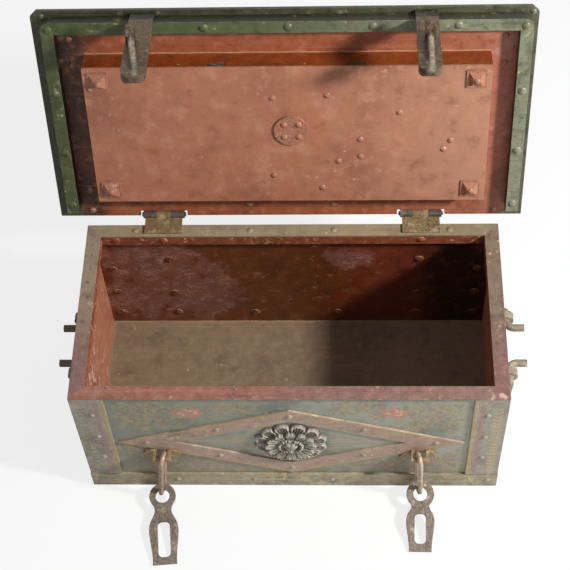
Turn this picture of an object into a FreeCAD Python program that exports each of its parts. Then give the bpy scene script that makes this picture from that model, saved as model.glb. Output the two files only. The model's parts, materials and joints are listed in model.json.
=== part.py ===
"""Armada chest: riveted iron strongbox with a lock in its lid, drawn with the lid open.

Millimetres, +Z up, +X to the right seen from the front, the front faces -Y.
The origin is the centre of the body's underside. Lid pieces are drawn closed,
in the place that they take on the body, and are then swung open about the hinge pins.
"""
import FreeCAD
import Part
import math
import os

Vec = FreeCAD.Vector
X_AXIS = Vec(1, 0, 0)
Y_AXIS = Vec(0, 1, 0)
Z_AXIS = Vec(0, 0, 1)
ORIGIN = Vec(0, 0, 0)

# Body box
body_length = 660.0
body_depth = 322.0
body_height = 285.0
sheet_thick = 2.5
strap_thick = 3.0

# Rim angle: flat on top, with a leg that hangs inside
rim_width = 22.5
rim_leg = 23.0

# Base angle
base_height = 39.0
base_thick = 4.0
base_foot = 30.0

# Corner angles and the straps on the walls
corner_width = 52.0
wall_strap_width = 40.0
lattice_width = 31.0
lattice_from_corner = 7.0
lattice_half_height = 101.0
lattice_z = 147.0
floor_strap_width = 40.0
floor_strap_spacing = 300.0

# Rivets and their places along the straps
rivet_radius = 5.0
rivet_height = 2.6
small_rivet_radius = 5.2
small_rivet_height = 2.2
large_rivet_radius = 6.8
large_rivet_height = 3.0
tail_radius = 8.5
tail_height = 3.5
corner_tail_radius = 4.8
corner_rivet_over_base = 60.0
corner_rivet_under_rim = 50.0
corner_rivet_shift = 4.0
corner_rivet_from_edge = 26.0
strap_rivet_over_base = 56.0
strap_rivet_under_rim = 40.0
bail_rivet_over_base = 31.0
bail_rivet_under_rim = 27.0
bail_rivet_below_eye = 50.0
bail_rivet_above_eye = 40.0
base_rivet_count = 6
base_rivet_inset = 15.0
base_rivet_z = 22.0
side_rivet_inset = 51.0
rim_rivet_inset = 78.0
rim_rivet_half_gap = 67.0
leg_rivet_inset = 46.0
tail_z = 35.0
tail_from_corner = 24.0
tail_middle_x = 72.0
lip_rivet_first = -119.0
lip_rivet_gap = 123.0
lip_rivet_count = 4
lip_rivet_inset = 15.0
lip_rivet_middle = 117.0
lip_rivet_far = 224.0
sheet_rivet_from_lip = 17.4
sheet_rivet_x = 67.0
sheet_rivet_step = 20.0
top_rivet_inset = 15.0
top_rivet_gap = 105.0
top_rivet_middle_x = 80.0
top_rivet_from_side = 67.0
strap_rivet_gap = 75.0

# Rosette on the front
rosette_radius = 58.0
rosette_petals = 12
rosette_plate_height = 4.0
rosette_ring_height = 10.0
rosette_inner_radius = 36.0
rosette_boss_radius = 13.0
rosette_boss_height = 17.0
rosette_boss_gap = 1.0
rosette_dome_height = 5.0
rosette_cup_thick = 4.0
rosette_petal_share = 0.62
rosette_cap_share = 0.9
rosette_cap_height = 3.5

# Hinges, hook plates, links and hasps stand this far in from the body's ends
fitting_inset = 123.0
staple_shift = {"left": 2.5, "right": -4.5}
hook_shift = {"left": -1.0, "right": -2.5}
hinge_behind = 19.0
pin_radius = 3.0
pin_head_radius = 4.5
pin_head_height = 2.0
pin_past_barrel = 1.0
knuckle_radius = 6.5
running_gap = 0.05
leaf_thick = 3.0
leaf_width = 60.0
leaf_on_rim = 18.0
body_knuckle = 24.0
knuckle_gap = 0.5
barrel_width = 66.0
notch_gap = 5.0
arm_length = 12.0
loose_gap = 0.3

# Lid
open_angle = 105.8
lid_overhang_side = {"left": 44.5, "right": 37.0}
lid_overhang_front = 9.3
lid_past_hinge = 2.0
lid_chamfer = 10.0
border_width = 30.0
lid_strap_width = 40.0

# Lip channel under the lid
lip_inset = 8.6
lip_gap_front = 4.7
lip_width = 19.0
lip_depth = 21.0
lip_corner = 14.0

# Lock case
case_from_lip_side = 37.9
case_from_back = 37.0
case_from_lip = 45.7
case_depth = 39.5
cover_thick = 3.0

# Lock bolts
bolt_x = 103.0
bolt_width = 24.0
bolt_thick = 7.0
bolt_length = 90.0
bolt_travel = 26.0
bolt_clear = 1.0
bolt_rise = 1.5
carriage_width = 30.0
carriage_thick = 6.0
guide_thick = 2.5
guide_length = 12.0
guide_foot = 14.0
guide_from_wall = 8.0
rest_inset = 1.0
carriage_overhang = 12.0
talon_width = 18.0
talon_depth = 14.0
spring_thick = 1.5
spring_width = 16.0
spring_from_key = 30.0
spring_behind = 3.0
spring_foot = 22.0
spring_reach = 16.0

# Rivet heads on the case cover: distance from its right side or from the key, and from its back edge
cover_heads_from_side = [(134.5, 163.0), (192.5, 115.0), (192.5, 84.0), (66.5, 96.0), (56.5, 112.0)]
cover_heads_from_key = [(71.0, 75.0), (46.0, 25.0), (-29.0, 49.0), (54.0, 194.0), (-27.0, 190.0)]

# Key post, its disc and the keyhole
key_x = 5.0
key_from_back = 170.0
post_radius = 4.0
post_end_gap = 2.0
collar_radius = 8.0
collar_height = 1.2
disc_radius = 26.0
disc_thick = 3.0
disc_rivet_inset = 11.0
keyhole_radius = 8.0
bit_slot_width = 5.0
bit_slot_length = 24.0
escutcheon_radius = 34.0
escutcheon_thick = 2.0
cover_pivot = 24.0
pivot_radius = 3.0
pivot_head_radius = 5.5
pivot_head_height = 2.5
swing_cover_thick = 2.5
swing_head_radius = 8.0
swing_drop_radius = 16.0
swing_drop_shift = 6.0
swing_neck_width = 12.0

# Case corner nuts
nut_size = 30.0
nut_plate_height = 2.0
nut_foot = 23.0
nut_top = 12.0
nut_height = 8.0
nut_dome_radius = 5.5
nut_dome_height = 3.5
nut_side_inset = 22.5
nut_inset = 23.0

# Hook plates
hook_width = {"left": 35.0, "right": 33.0}
hook_thick = 5.3
hook_tip_thick = 13.0
hook_tip_z = {"left": 135.5, "right": 141.5}
hook_tip_inside = {"left": 3.0, "right": 6.0}
hook_corner = 14.0
hook_bend_below_lip = 6.0
hook_tip_bevel = 3.0
eye_reach = 23.0
eye_root = 8.0
eye_width = 15.0
eye_hole_width = 8.0
eye_hole_depth = 15.0
eye_bottom = {"left": 59.0, "right": 55.0}
eye_length = 9.0
eye_shift = {"left": -8.0, "right": 2.0}
rib_skew = {"left": -10.0, "right": 0.0}
rib_width = 10.0
rib_round = 4.2
rib_root = 6.0
rib_start_share = 0.25
rib_reach = 9.0
rib_drop = 14.0
rib_tip_height = 2.0
rib_tip_rise = 12.0

# Bridge staples
bridge_z = 120.0
bridge_radius = 4.4
bridge_reach = 15.2
bridge_half_gap = 9.0
bridge_arm = 5.0
wing_shapes = {
    "left": (
        [(-9, 4), (-17, 5), (-27, 1), (-31, -7), (-29, -17), (-22, -20), (-14, -13), (-9, -9)],
        [(9, 4), (15, 5), (25, 2), (30, -6), (28, -15), (21, -19), (13, -13), (9, -9)],
    ),
    "right": (
        [(-9, 4), (-16, 2), (-26, -5), (-33, -16), (-24, -15), (-14, -10), (-9, -8)],
        [(9, 4), (14, 3), (21, -2), (23, -9), (18, -15), (9, -10)],
    ),
}

# Oval links, each with its own length and lean
link_wire = 4.0
link_bend = 10.4
link_shift = {"left": 1.7, "right": -1.9}
link_bottom_z = {"left": 7.0, "right": 14.0}
link_turn = {"left": -10.0, "right": 13.0}
link_lean = {"left": 6.3, "right": -1.5}

# Hasps: lengths run from the ring's centre towards the free end
hasp_thick = 4.5
hasp_rest_gap = 0.3
hasp_seat = {"left": 0.0, "right": 7.0}
hasp_aside = {"left": -0.8, "right": 3.0}
hasp_turn = {"left": 5.2, "right": -1.0}
hasp_ring = {"left": 21.5, "right": 22.3}
hasp_hole = {"left": 11.5, "right": 11.2}
hasp_reach = {"left": 113.0, "right": 92.0}
hasp_slot_start = {"left": 43.0, "right": 32.0}
hasp_slot_length = {"left": 58.5, "right": 47.5}
hasp_slot_width = {"left": 20.0, "right": 18.0}
hasp_neck = {"left": 29.0, "right": 29.5}
hasp_neck_at = {"left": 29.0, "right": 21.5}
hasp_width = {"left": 45.5, "right": 43.5}
hasp_end_width = {"left": 39.0, "right": 36.5}
hasp_shoulder_inset = 1.5
hasp_widest_share = 0.4
hasp_slot_round = 0.75

# Side handles
bail_wire = 6.0
bail_pivot_z = 175.0
bail_pivot_out = 15.0
bail_eye_y = 52.0
bail_leg_y = 68.0
bail_drop = 84.0
bail_lean = 6.0
bail_bend = 13.0
leg_bend = 8.0
stub_bend = 12.0
stub_y = 33.0
stub_length = 28.0
eye_strap_width = 13.0
eye_strap_thick = 6.0
eye_foot = 16.0

# Smallest flat left beside a rounding, and how near two places count as one
smallest_flat = 0.5
same_place = 0.01

# Planes and places that follow from the sizes
half_length = body_length / 2
half_depth = body_depth / 2
wall_half_length = half_length - strap_thick
wall_half_depth = half_depth - strap_thick
rim_under = body_height - strap_thick
front_face = -half_depth
fitting_x = half_length - fitting_inset
lattice_half_length = half_length - corner_width - lattice_from_corner
staple_x = {"left": staple_shift["left"] - fitting_x, "right": staple_shift["right"] + fitting_x}
hook_x = {"left": hook_shift["left"] - fitting_x, "right": hook_shift["right"] + fitting_x}
link_x = {side: staple_x[side] + link_shift[side] for side in staple_x}
hinge_y = half_depth + hinge_behind
sheet_under = body_height + leaf_thick + loose_gap
hinge_z = sheet_under - 0.1
sheet_top = sheet_under + sheet_thick
strap_top = sheet_top + strap_thick
lip_under = sheet_under - lip_depth
lip_front = -half_depth - lip_gap_front - lip_width
lid_front = lip_front - lid_overhang_front
lid_left = -half_length - lid_overhang_side["left"]
lid_right = half_length + lid_overhang_side["right"]
lip_half_width = lid_right - lip_inset
case_half_width = lip_half_width - lip_width - case_from_lip_side
nut_x = case_half_width - nut_side_inset
lid_back = hinge_y + lid_past_hinge
lip_back = half_depth
case_front = lip_front + lip_width + case_from_lip
case_back = lip_back - case_from_back
case_under = sheet_under - case_depth
cover_inside = case_under + cover_thick
bolt_under = cover_inside + bolt_rise
bolt_top = bolt_under + bolt_thick
bolt_tip = case_front + 0.5
carriage_front = bolt_tip + bolt_length - carriage_width
key_y = lip_back - key_from_back


def block(x_range, y_range, z_range):
    """Box between two corners."""
    low = Vec(min(x_range), min(y_range), min(z_range))
    high = Vec(max(x_range), max(y_range), max(z_range))
    size = high - low
    return Part.makeBox(size.x, size.y, size.z, low)


def cylinder(start, direction, radius, length):
    """Round bar from a start point."""
    return Part.makeCylinder(radius, length, start, direction)


def prism(points, extrusion):
    """Solid from a closed flat outline."""
    wire = Part.makePolygon(points + [points[0]])
    return Part.Face(wire).extrude(extrusion)


def plan_prism(outline, z_low, z_high):
    """Solid from an outline in plan."""
    return prism([Vec(x, y, z_low) for x, y in outline], Vec(0, 0, z_high - z_low))


def curve_through(points):
    """Smooth edge through points."""
    curve = Part.BSplineCurve()
    curve.interpolate(points)
    return curve.toShape()


def dome(base, direction, radius, height):
    """Rivet head: a cap of a sphere on a flat base."""
    sphere_radius = (radius ** 2 + height ** 2) / (2 * height)
    low_angle = math.degrees(math.asin((sphere_radius - height) / sphere_radius))
    centre = base - direction * (sphere_radius - height)
    return Part.makeSphere(sphere_radius, centre, direction, low_angle, 90, 360)


def upright_edges(shape):
    """Edges that run up a shape."""
    return [edge for edge in shape.Edges if edge.BoundBox.ZLength > smallest_flat]


def rivet(base, direction):
    """Rivet head on an outer strap."""
    return dome(base, direction, rivet_radius, rivet_height)


def small_rivet(base, direction):
    """Small rivet head."""
    return dome(base, direction, small_rivet_radius, small_rivet_height)


def large_rivet(base, direction):
    """Broad rivet head."""
    return dome(base, direction, large_rivet_radius, large_rivet_height)


def tail(base, direction):
    """Broad tail of an outer rivet, seen inside a wall."""
    return dome(base, direction, tail_radius, tail_height)


def mirror_x(shape):
    """Copy on the other side of the middle plane."""
    return shape.mirror(ORIGIN, X_AXIS)


def turned(shape, centre, axis, angle):
    """Copy turned about an axis, in degrees."""
    copy = shape.copy()
    copy.rotate(centre, axis, angle)
    return copy


def open_lid(shape):
    """Copy of a lid piece, swung from closed to open about the hinge pins."""
    return turned(shape, Vec(0, hinge_y, hinge_z), X_AXIS, -open_angle)


def frame_sides(ring_half_length, ring_half_depth, profile):
    """Four mitred sides of a rectangular frame with one profile of (inset, z) points."""
    mitre = max(inset for inset, z in profile)
    low = min(z for inset, z in profile)
    high = max(z for inset, z in profile)
    sides = {}
    for name, turn in (("front", 0), ("right", 90), ("back", 180), ("left", 270)):
        along, across = ring_half_length, ring_half_depth
        if name in ("left", "right"):
            along, across = ring_half_depth, ring_half_length
        outline = [Vec(-along, inset - across, z) for inset, z in profile]
        bar = prism(outline, Vec(2 * along, 0, 0))
        ends = plan_prism(
            [
                (-along, -across), (along, -across),
                (along - mitre, mitre - across), (mitre - along, mitre - across),
            ],
            low,
            high,
        )
        sides[name] = turned(bar.common(ends), ORIGIN, Z_AXIS, turn)
    return sides


def bar_along(points, bends, radius):
    """Round bar along straight runs, with a tangent bend of given radius at each corner."""
    edges = []
    start = points[0]
    for before, corner, after, bend in zip(points, points[1:], points[2:], bends):
        inward = (before - corner).normalize()
        outward = (after - corner).normalize()
        half_angle = inward.getAngle(outward) / 2
        setback = bend / math.tan(half_angle)
        arc_start = corner + inward * setback
        arc_end = corner + outward * setback
        middle_line = (inward + outward).normalize()
        arc_middle = corner + middle_line * (bend / math.sin(half_angle) - bend)
        edges.append(Part.LineSegment(start, arc_start).toShape())
        edges.append(Part.Arc(arc_start, arc_middle, arc_end).toShape())
        start = arc_end
    edges.append(Part.LineSegment(start, points[-1]).toShape())
    section = Part.Wire(Part.makeCircle(radius, points[0], points[1] - points[0]))
    return Part.Wire(edges).makePipeShell([section], True, False)


def body_sheets():
    """Four wall sheets with a flange under the rim, and the floor sheet."""
    flange = rim_width - 2 * strap_thick
    under = rim_under - sheet_thick
    profile = [
        (0, base_thick), (sheet_thick, base_thick), (sheet_thick, under),
        (flange, under), (flange, rim_under), (0, rim_under),
    ]
    walls = frame_sides(wall_half_length, wall_half_depth, profile)
    nodes = {"body_%s_sheet" % side: wall for side, wall in walls.items()}
    inner_x = wall_half_length - sheet_thick
    inner_y = wall_half_depth - sheet_thick
    floor_heights = (base_thick, base_thick + sheet_thick)
    nodes["body_floor_sheet"] = block((-inner_x, inner_x), (-inner_y, inner_y), floor_heights)
    return nodes


def frame_straps():
    """Rim angles, base angles and corner angles."""
    leg_bottom = body_height - rim_leg
    rim_profile = [
        (0, body_height), (rim_width, body_height), (rim_width, leg_bottom),
        (rim_width - strap_thick, leg_bottom), (rim_width - strap_thick, rim_under), (0, rim_under),
    ]
    nodes = {}
    for side, shape in frame_sides(half_length, half_depth, rim_profile).items():
        nodes["rim_%s" % side] = shape
    base_profile = [
        (0, 0), (base_foot, 0), (base_foot, base_thick), (base_thick, base_thick),
        (base_thick, base_height), (0, base_height),
    ]
    base = frame_sides(wall_half_length + base_thick, wall_half_depth + base_thick, base_profile)
    for side, shape in base.items():
        nodes["base_angle_%s" % side] = shape
    outer = block((half_length - corner_width, half_length), (-half_depth, corner_width - half_depth),
                  (base_height, rim_under))
    hollow = block((0, wall_half_length), (-wall_half_depth, half_depth), (0, body_height))
    corner = outer.cut(hollow)
    nodes["corner_angle_front_right"] = corner
    nodes["corner_angle_front_left"] = mirror_x(corner)
    nodes["corner_angle_back_right"] = corner.mirror(ORIGIN, Y_AXIS)
    nodes["corner_angle_back_left"] = mirror_x(corner.mirror(ORIGIN, Y_AXIS))
    return nodes


def wall_straps():
    """Diamond on the front, upright straps on the back and the sides, and straps under the floor."""
    slope = math.atan2(lattice_half_height, lattice_half_length)
    inner_height = lattice_half_height - lattice_width / math.cos(slope)
    inner_length = lattice_half_length - lattice_width / math.sin(slope)
    bars = []
    for side in (-1, 1):
        for up in (-1, 1):
            outline = [
                (0, up * lattice_half_height), (side * lattice_half_length, 0),
                (side * inner_length, 0), (0, up * inner_height),
            ]
            points = [Vec(x, front_face, lattice_z + z) for x, z in outline]
            bars.append(prism(points, Vec(0, strap_thick, 0)))
    half_width = wall_strap_width / 2
    uprights = (base_height, rim_under)
    back = [
        block((x - half_width, x + half_width), (wall_half_depth, half_depth), uprights)
        for x in (-fitting_x, fitting_x)
    ]
    sides = [
        block((side * wall_half_length, side * half_length), (y - half_width, y + half_width), uprights)
        for side in (-1, 1)
        for y in (-bail_eye_y, bail_eye_y)
    ]
    foot_x = wall_half_length + base_thick - base_foot
    foot_y = wall_half_depth + base_thick - base_foot
    half_floor = floor_strap_width / 2
    floor = [block((-foot_x, foot_x), (-half_floor, half_floor), (0, base_thick))]
    for side in (-1, 1):
        x = side * floor_strap_spacing / 2
        for end in (-1, 1):
            length = (end * half_floor, end * foot_y)
            floor.append(block((x - half_floor, x + half_floor), length, (0, base_thick)))
    return {
        "front_diamond_straps": Part.makeCompound(bars),
        "back_straps": Part.makeCompound(back),
        "side_straps": Part.makeCompound(sides),
        "floor_straps": Part.makeCompound(floor),
    }


def rosette():
    """Cast rosette: scalloped plate with a raised ring, and a centre boss."""
    seat = -wall_half_depth
    petal_radius = math.pi * rosette_radius / rosette_petals * rosette_petal_share
    petal_circle = rosette_radius - petal_radius
    outward = Vec(0, -1, 0)
    centre = Vec(0, seat, lattice_z)
    plate = cylinder(centre, outward, petal_circle, rosette_plate_height)
    for index in range(rosette_petals):
        angle = 2 * math.pi * index / rosette_petals
        place = centre + Vec(math.cos(angle), 0, math.sin(angle)) * petal_circle
        petal = cylinder(place, outward, petal_radius, rosette_plate_height)
        cap_base = place + outward * rosette_plate_height
        cap = dome(cap_base, outward, petal_radius * rosette_cap_share, rosette_cap_height)
        plate = plate.fuse([petal, cap])
    ring_height = rosette_ring_height - rosette_plate_height
    ring_start = centre + outward * rosette_plate_height
    cup_radius = rosette_boss_radius + rosette_cup_thick
    cone = Part.makeCone(rosette_inner_radius, cup_radius, ring_height, ring_start, outward)
    recess = cylinder(centre + outward * rosette_plate_height, outward, rosette_boss_radius, ring_height + 1)
    plate = plate.fuse(cone).cut(recess).removeSplitter()
    boss_start = centre + outward * rosette_plate_height
    stem_height = rosette_boss_height - rosette_plate_height - rosette_dome_height
    stem_radius = rosette_boss_radius - rosette_boss_gap
    boss = cylinder(boss_start, outward, stem_radius, stem_height)
    boss = boss.fuse(dome(boss_start + outward * stem_height, outward, stem_radius, rosette_dome_height))
    return {"rosette_plate": plate, "rosette_boss": boss}


def hinges():
    """Body leaves and pins; the lid's half is the hinge strap."""
    nodes = {}
    pins = []
    tongue_end = hinge_y - knuckle_radius - knuckle_gap
    for name, side in (("left", -1), ("right", 1)):
        x = side * fitting_x
        half_knuckle = body_knuckle / 2
        plate = block((x - leaf_width / 2, x + leaf_width / 2), (half_depth - leaf_on_rim, tongue_end),
                      (body_height, body_height + leaf_thick))
        tongue = block((x - half_knuckle, x + half_knuckle), (tongue_end - 1, hinge_y),
                       (body_height, body_height + leaf_thick))
        barrel = cylinder(Vec(x - half_knuckle, hinge_y, hinge_z), X_AXIS, knuckle_radius, body_knuckle)
        bore_start = Vec(x - barrel_width, hinge_y, hinge_z)
        bore = cylinder(bore_start, X_AXIS, pin_radius + running_gap, 2 * barrel_width)
        nodes["hinge_leaf_%s" % name] = plate.fuse([tongue, barrel]).cut(bore).removeSplitter()
        pin_length = barrel_width + 2 * pin_past_barrel
        pin = cylinder(Vec(x - pin_length / 2, hinge_y, hinge_z), X_AXIS, pin_radius, pin_length)
        for end in (-1, 1):
            head_base = Vec(x + end * pin_length / 2, hinge_y, hinge_z)
            pin = pin.fuse(dome(head_base, X_AXIS * end, pin_head_radius, pin_head_height))
        pins.append(pin)
    nodes["hinge_pins"] = Part.makeCompound(pins)
    return nodes


def strap_path(x):
    """Space that a hinge strap takes on the lid."""
    half_width = lid_strap_width / 2
    return block((x - half_width, x + half_width), (lid_front, lid_back), (sheet_top, strap_top))


def lid_outline(inset):
    """Plan of the lid with chamfered front corners."""
    left = lid_left + inset
    right = lid_right - inset
    front = lid_front + inset
    chamfer = lid_chamfer
    return [
        (left, lid_back), (left, front + chamfer), (left + chamfer, front),
        (right - chamfer, front), (right, front + chamfer), (right, lid_back),
    ]


def keyhole(z_low, z_high):
    """Keyhole through the lid: a round hole and a slot for the key's bit."""
    hole = cylinder(Vec(key_x, key_y, z_low), Z_AXIS, keyhole_radius, z_high - z_low)
    half_slot = bit_slot_width / 2
    slot = block((key_x - half_slot, key_x + half_slot), (key_y, key_y + bit_slot_length), (z_low, z_high))
    return hole.fuse(slot)


def lid_top():
    """Lid sheet, border straps, hinge straps and lattice straps, closed."""
    hole = keyhole(case_under, strap_top + escutcheon_thick)
    notches = []
    notch_half = barrel_width / 2 + notch_gap
    for side in (-1, 1):
        x = side * fitting_x
        notches.append(block((x - notch_half, x + notch_half), (hinge_y - knuckle_radius - 1, lid_back + 1),
                             (sheet_under, strap_top)))
    sheet = plan_prism(lid_outline(0), sheet_under, sheet_top).cut([hole] + notches)
    paths = [strap_path(-fitting_x), strap_path(fitting_x)]
    whole = plan_prism(lid_outline(0), sheet_top, strap_top)
    inner_width = (lid_left + border_width, lid_right - border_width)
    inner_front = lid_front + border_width
    inner_back = lid_back - border_width
    opening = block(inner_width, (inner_front, inner_back), (sheet_top, strap_top))
    half_strap = lid_strap_width / 2
    long_strap = block(inner_width, (key_y - half_strap, key_y + half_strap), (sheet_top, strap_top))
    nodes = {
        "lid_sheet": sheet,
        "lid_border_straps": whole.cut([opening] + paths + notches),
        "lid_lattice_straps": long_strap.cut(paths + [hole]),
    }
    inner_end = body_knuckle / 2 + knuckle_gap
    outer_end = barrel_width / 2
    for name, side in (("left", -1), ("right", 1)):
        x = side * fitting_x
        strap = strap_path(x).cut(notches)
        for end in (-1, 1):
            near, far = x + end * inner_end, x + end * outer_end
            arm_start = hinge_y - knuckle_radius - arm_length
            arm = block((near, far), (arm_start, hinge_y), (sheet_top, strap_top))
            barrel_start = Vec(min(near, far), hinge_y, hinge_z)
            barrel = cylinder(barrel_start, X_AXIS, knuckle_radius, outer_end - inner_end)
            strap = strap.fuse([arm, barrel])
        bore_start = Vec(x - barrel_width, hinge_y, hinge_z)
        bore = cylinder(bore_start, X_AXIS, pin_radius + running_gap, 2 * barrel_width)
        nodes["hinge_strap_%s" % name] = strap.cut(bore).removeSplitter()
    straps = [nodes["hinge_strap_left"], nodes["hinge_strap_right"]]
    nodes["lid_border_straps"] = nodes["lid_border_straps"].cut(straps)
    return nodes


def lip():
    """Folded channel round the front and sides of the lid's underside, closed."""
    def u_plan(inset, z_low, z_high):
        half_width = lip_half_width - inset
        front = lip_front + inset
        radius = max(lip_corner - inset, smallest_flat)
        body = block((-half_width, half_width), (front, lip_back), (z_low, z_high))
        edges = [edge for edge in upright_edges(body) if abs(edge.CenterOfMass.y - front) < same_place]
        return body.makeFillet(radius, edges)

    wall = sheet_thick
    solid = u_plan(0, lip_under, sheet_under)
    inner_half = lip_half_width - lip_width
    inner_front = lip_front + lip_width
    solid = solid.cut(block((-inner_half, inner_half), (inner_front, lip_back), (lip_under, sheet_under)))
    cavity = u_plan(wall, lip_under + wall, sheet_under)
    keep_half = inner_half + wall
    keep_front = inner_front - wall
    cavity = cavity.cut(block((-keep_half, keep_half), (keep_front, lip_back), (lip_under, sheet_under)))
    lip_span = (-lip_half_width, lip_half_width)
    cavity = cavity.cut(block(lip_span, (lip_back - wall, lip_back), (lip_under, sheet_under)))
    channel = solid.cut(cavity)
    front_outline = [
        (-lip_half_width, lip_front), (lip_half_width, lip_front),
        (inner_half, inner_front), (-inner_half, inner_front),
    ]
    front_space = plan_prism(front_outline, lip_under, sheet_under)
    front = channel.common(front_space)
    sides = channel.cut(front_space)
    right = sides.common(block((0, lip_half_width), (lip_front, lip_back), (lip_under, sheet_under)))
    return {"lip_front": front, "lip_left": mirror_x(right), "lip_right": right}


def hook_plate(side):
    """Plate that hangs outside the lip, with a padlock eye and a rib that runs down to its thick tip."""
    root_outer = lip_front - hook_thick
    tip_inner = -half_depth - hook_tip_inside[side]
    tip_outer = tip_inner - hook_tip_thick
    bend_z = lip_under - hook_bend_below_lip
    tip_z = hook_tip_z[side]
    bevel = hook_tip_bevel
    profile = [
        (root_outer, sheet_under), (lip_front, sheet_under), (lip_front, bend_z), (tip_inner, tip_z + bevel),
        (tip_inner - bevel, tip_z), (tip_outer + bevel, tip_z), (tip_outer, tip_z + bevel),
        (root_outer, bend_z),
    ]
    width = hook_width[side]
    plate = prism([Vec(-width / 2, y, z) for y, z in profile], Vec(width, 0, 0))
    corner = block((-width / 2, hook_corner - width / 2), (2 * lip_front, 0), (tip_z, tip_z + hook_corner))
    arc_centre = Vec(hook_corner - width / 2, 2 * lip_front, tip_z + hook_corner)
    corner = corner.cut(cylinder(arc_centre, Y_AXIS, hook_corner, -2 * lip_front))
    plate = plate.cut([corner, mirror_x(corner)])
    bottom = lip_under - eye_bottom[side]
    top = bottom + eye_length
    nose_y = root_outer - eye_reach
    eye = block((-eye_width / 2, eye_width / 2), (nose_y, root_outer + eye_root), (bottom, top))
    nose = [edge for edge in upright_edges(eye) if abs(edge.CenterOfMass.y - nose_y) < same_place]
    eye = eye.makeFillet(eye_width / 2 - smallest_flat, nose)
    hole_half = eye_hole_width / 2
    hole_front = nose_y + (eye_width - eye_hole_width) / 2
    hole = block((-hole_half, hole_half), (hole_front, hole_front + eye_hole_depth), (bottom, top))
    eye = eye.cut(hole.makeFillet(hole_half - smallest_flat / 2, upright_edges(hole)))
    rib_profile = [
        (root_outer + rib_root, top), (root_outer - eye_reach * rib_start_share, top),
        (root_outer - rib_reach, bottom - rib_drop), (tip_outer - rib_tip_height, tip_z + rib_tip_rise),
        (tip_outer + bevel, tip_z + bevel), (tip_outer + 2 * bevel, tip_z + 2 * bevel),
    ]
    rib = prism([Vec(-rib_width / 2, y, z) for y, z in rib_profile], Vec(rib_width, 0, 0))
    outward_line = (root_outer + tip_outer) / 2
    ridge = [
        edge for edge in rib.Edges
        if edge.BoundBox.XLength < same_place and edge.BoundBox.ZLength > rib_tip_rise
        and edge.CenterOfMass.y < outward_line
    ]
    rib = rib.makeFillet(rib_round, ridge)
    raised = turned(eye.fuse(rib), Vec(0, root_outer, bottom), Y_AXIS, rib_skew[side])
    raised.translate(Vec(eye_shift[side], 0, 0))
    below_tip = block((-width, width), (2 * lip_front, 0), (0, tip_z))
    hook = plate.fuse(raised).cut(below_tip).removeSplitter()
    return hook.translated(Vec(hook_x[side], 0, 0))


def corner_nut(base):
    """Square plate with a blunt pyramid and a round knob, pointing down."""
    down = Vec(0, 0, -1)
    half = nut_size / 2
    plate = block((-half, half), (-half, half), (-nut_plate_height, 0)).translated(base)
    rings = []
    for half_side, depth in ((nut_foot / 2, nut_plate_height), (nut_top / 2, nut_height)):
        corners = [
            base + Vec(sx * half_side, sy * half_side, -depth)
            for sx, sy in ((-1, -1), (1, -1), (1, 1), (-1, 1), (-1, -1))
        ]
        rings.append(Part.makePolygon(corners))
    pyramid = Part.makeLoft(rings, True, True)
    knob = dome(base + down * nut_height, down, nut_dome_radius, nut_dome_height)
    return plate.fuse([pyramid, knob]).removeSplitter()


def lock_case():
    """Case walls with two bolt slots, cover, corner nuts and the key post with its disc, closed."""
    outer = block((-case_half_width, case_half_width), (case_front, case_back), (cover_inside, sheet_under))
    wall = sheet_thick
    inner_half = case_half_width - wall
    inner_depth = (case_front + wall, case_back - wall)
    hollow = block((-inner_half, inner_half), inner_depth, (cover_inside, sheet_under))
    walls = outer.cut(hollow)
    slot_half = bolt_width / 2 + bolt_clear
    for side in (-1, 1):
        x = side * bolt_x
        slot = block((x - slot_half, x + slot_half), (case_front, case_front + wall),
                     (bolt_under - bolt_clear, bolt_top + bolt_clear))
        walls = walls.cut(slot)
    cover = block((-case_half_width, case_half_width), (case_front, case_back), (case_under, cover_inside))
    nuts = []
    for x in (-nut_x, nut_x):
        for y in (case_front + nut_inset, case_back - nut_inset):
            nuts.append(corner_nut(Vec(x, y, case_under)))
    disc = cylinder(Vec(key_x, key_y, case_under - disc_thick), Z_AXIS, disc_radius, disc_thick)
    post_end = sheet_under - post_end_gap
    post = cylinder(Vec(key_x, key_y, cover_inside), Z_AXIS, post_radius, post_end - cover_inside)
    collar = cylinder(Vec(key_x, key_y, cover_inside), Z_AXIS, collar_radius, collar_height)
    return {
        "lock_case_walls": walls,
        "lock_case_cover": cover,
        "case_corner_nuts": Part.makeCompound(nuts),
        "key_post_disc": disc,
        "key_post": post.fuse(collar),
    }


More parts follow.
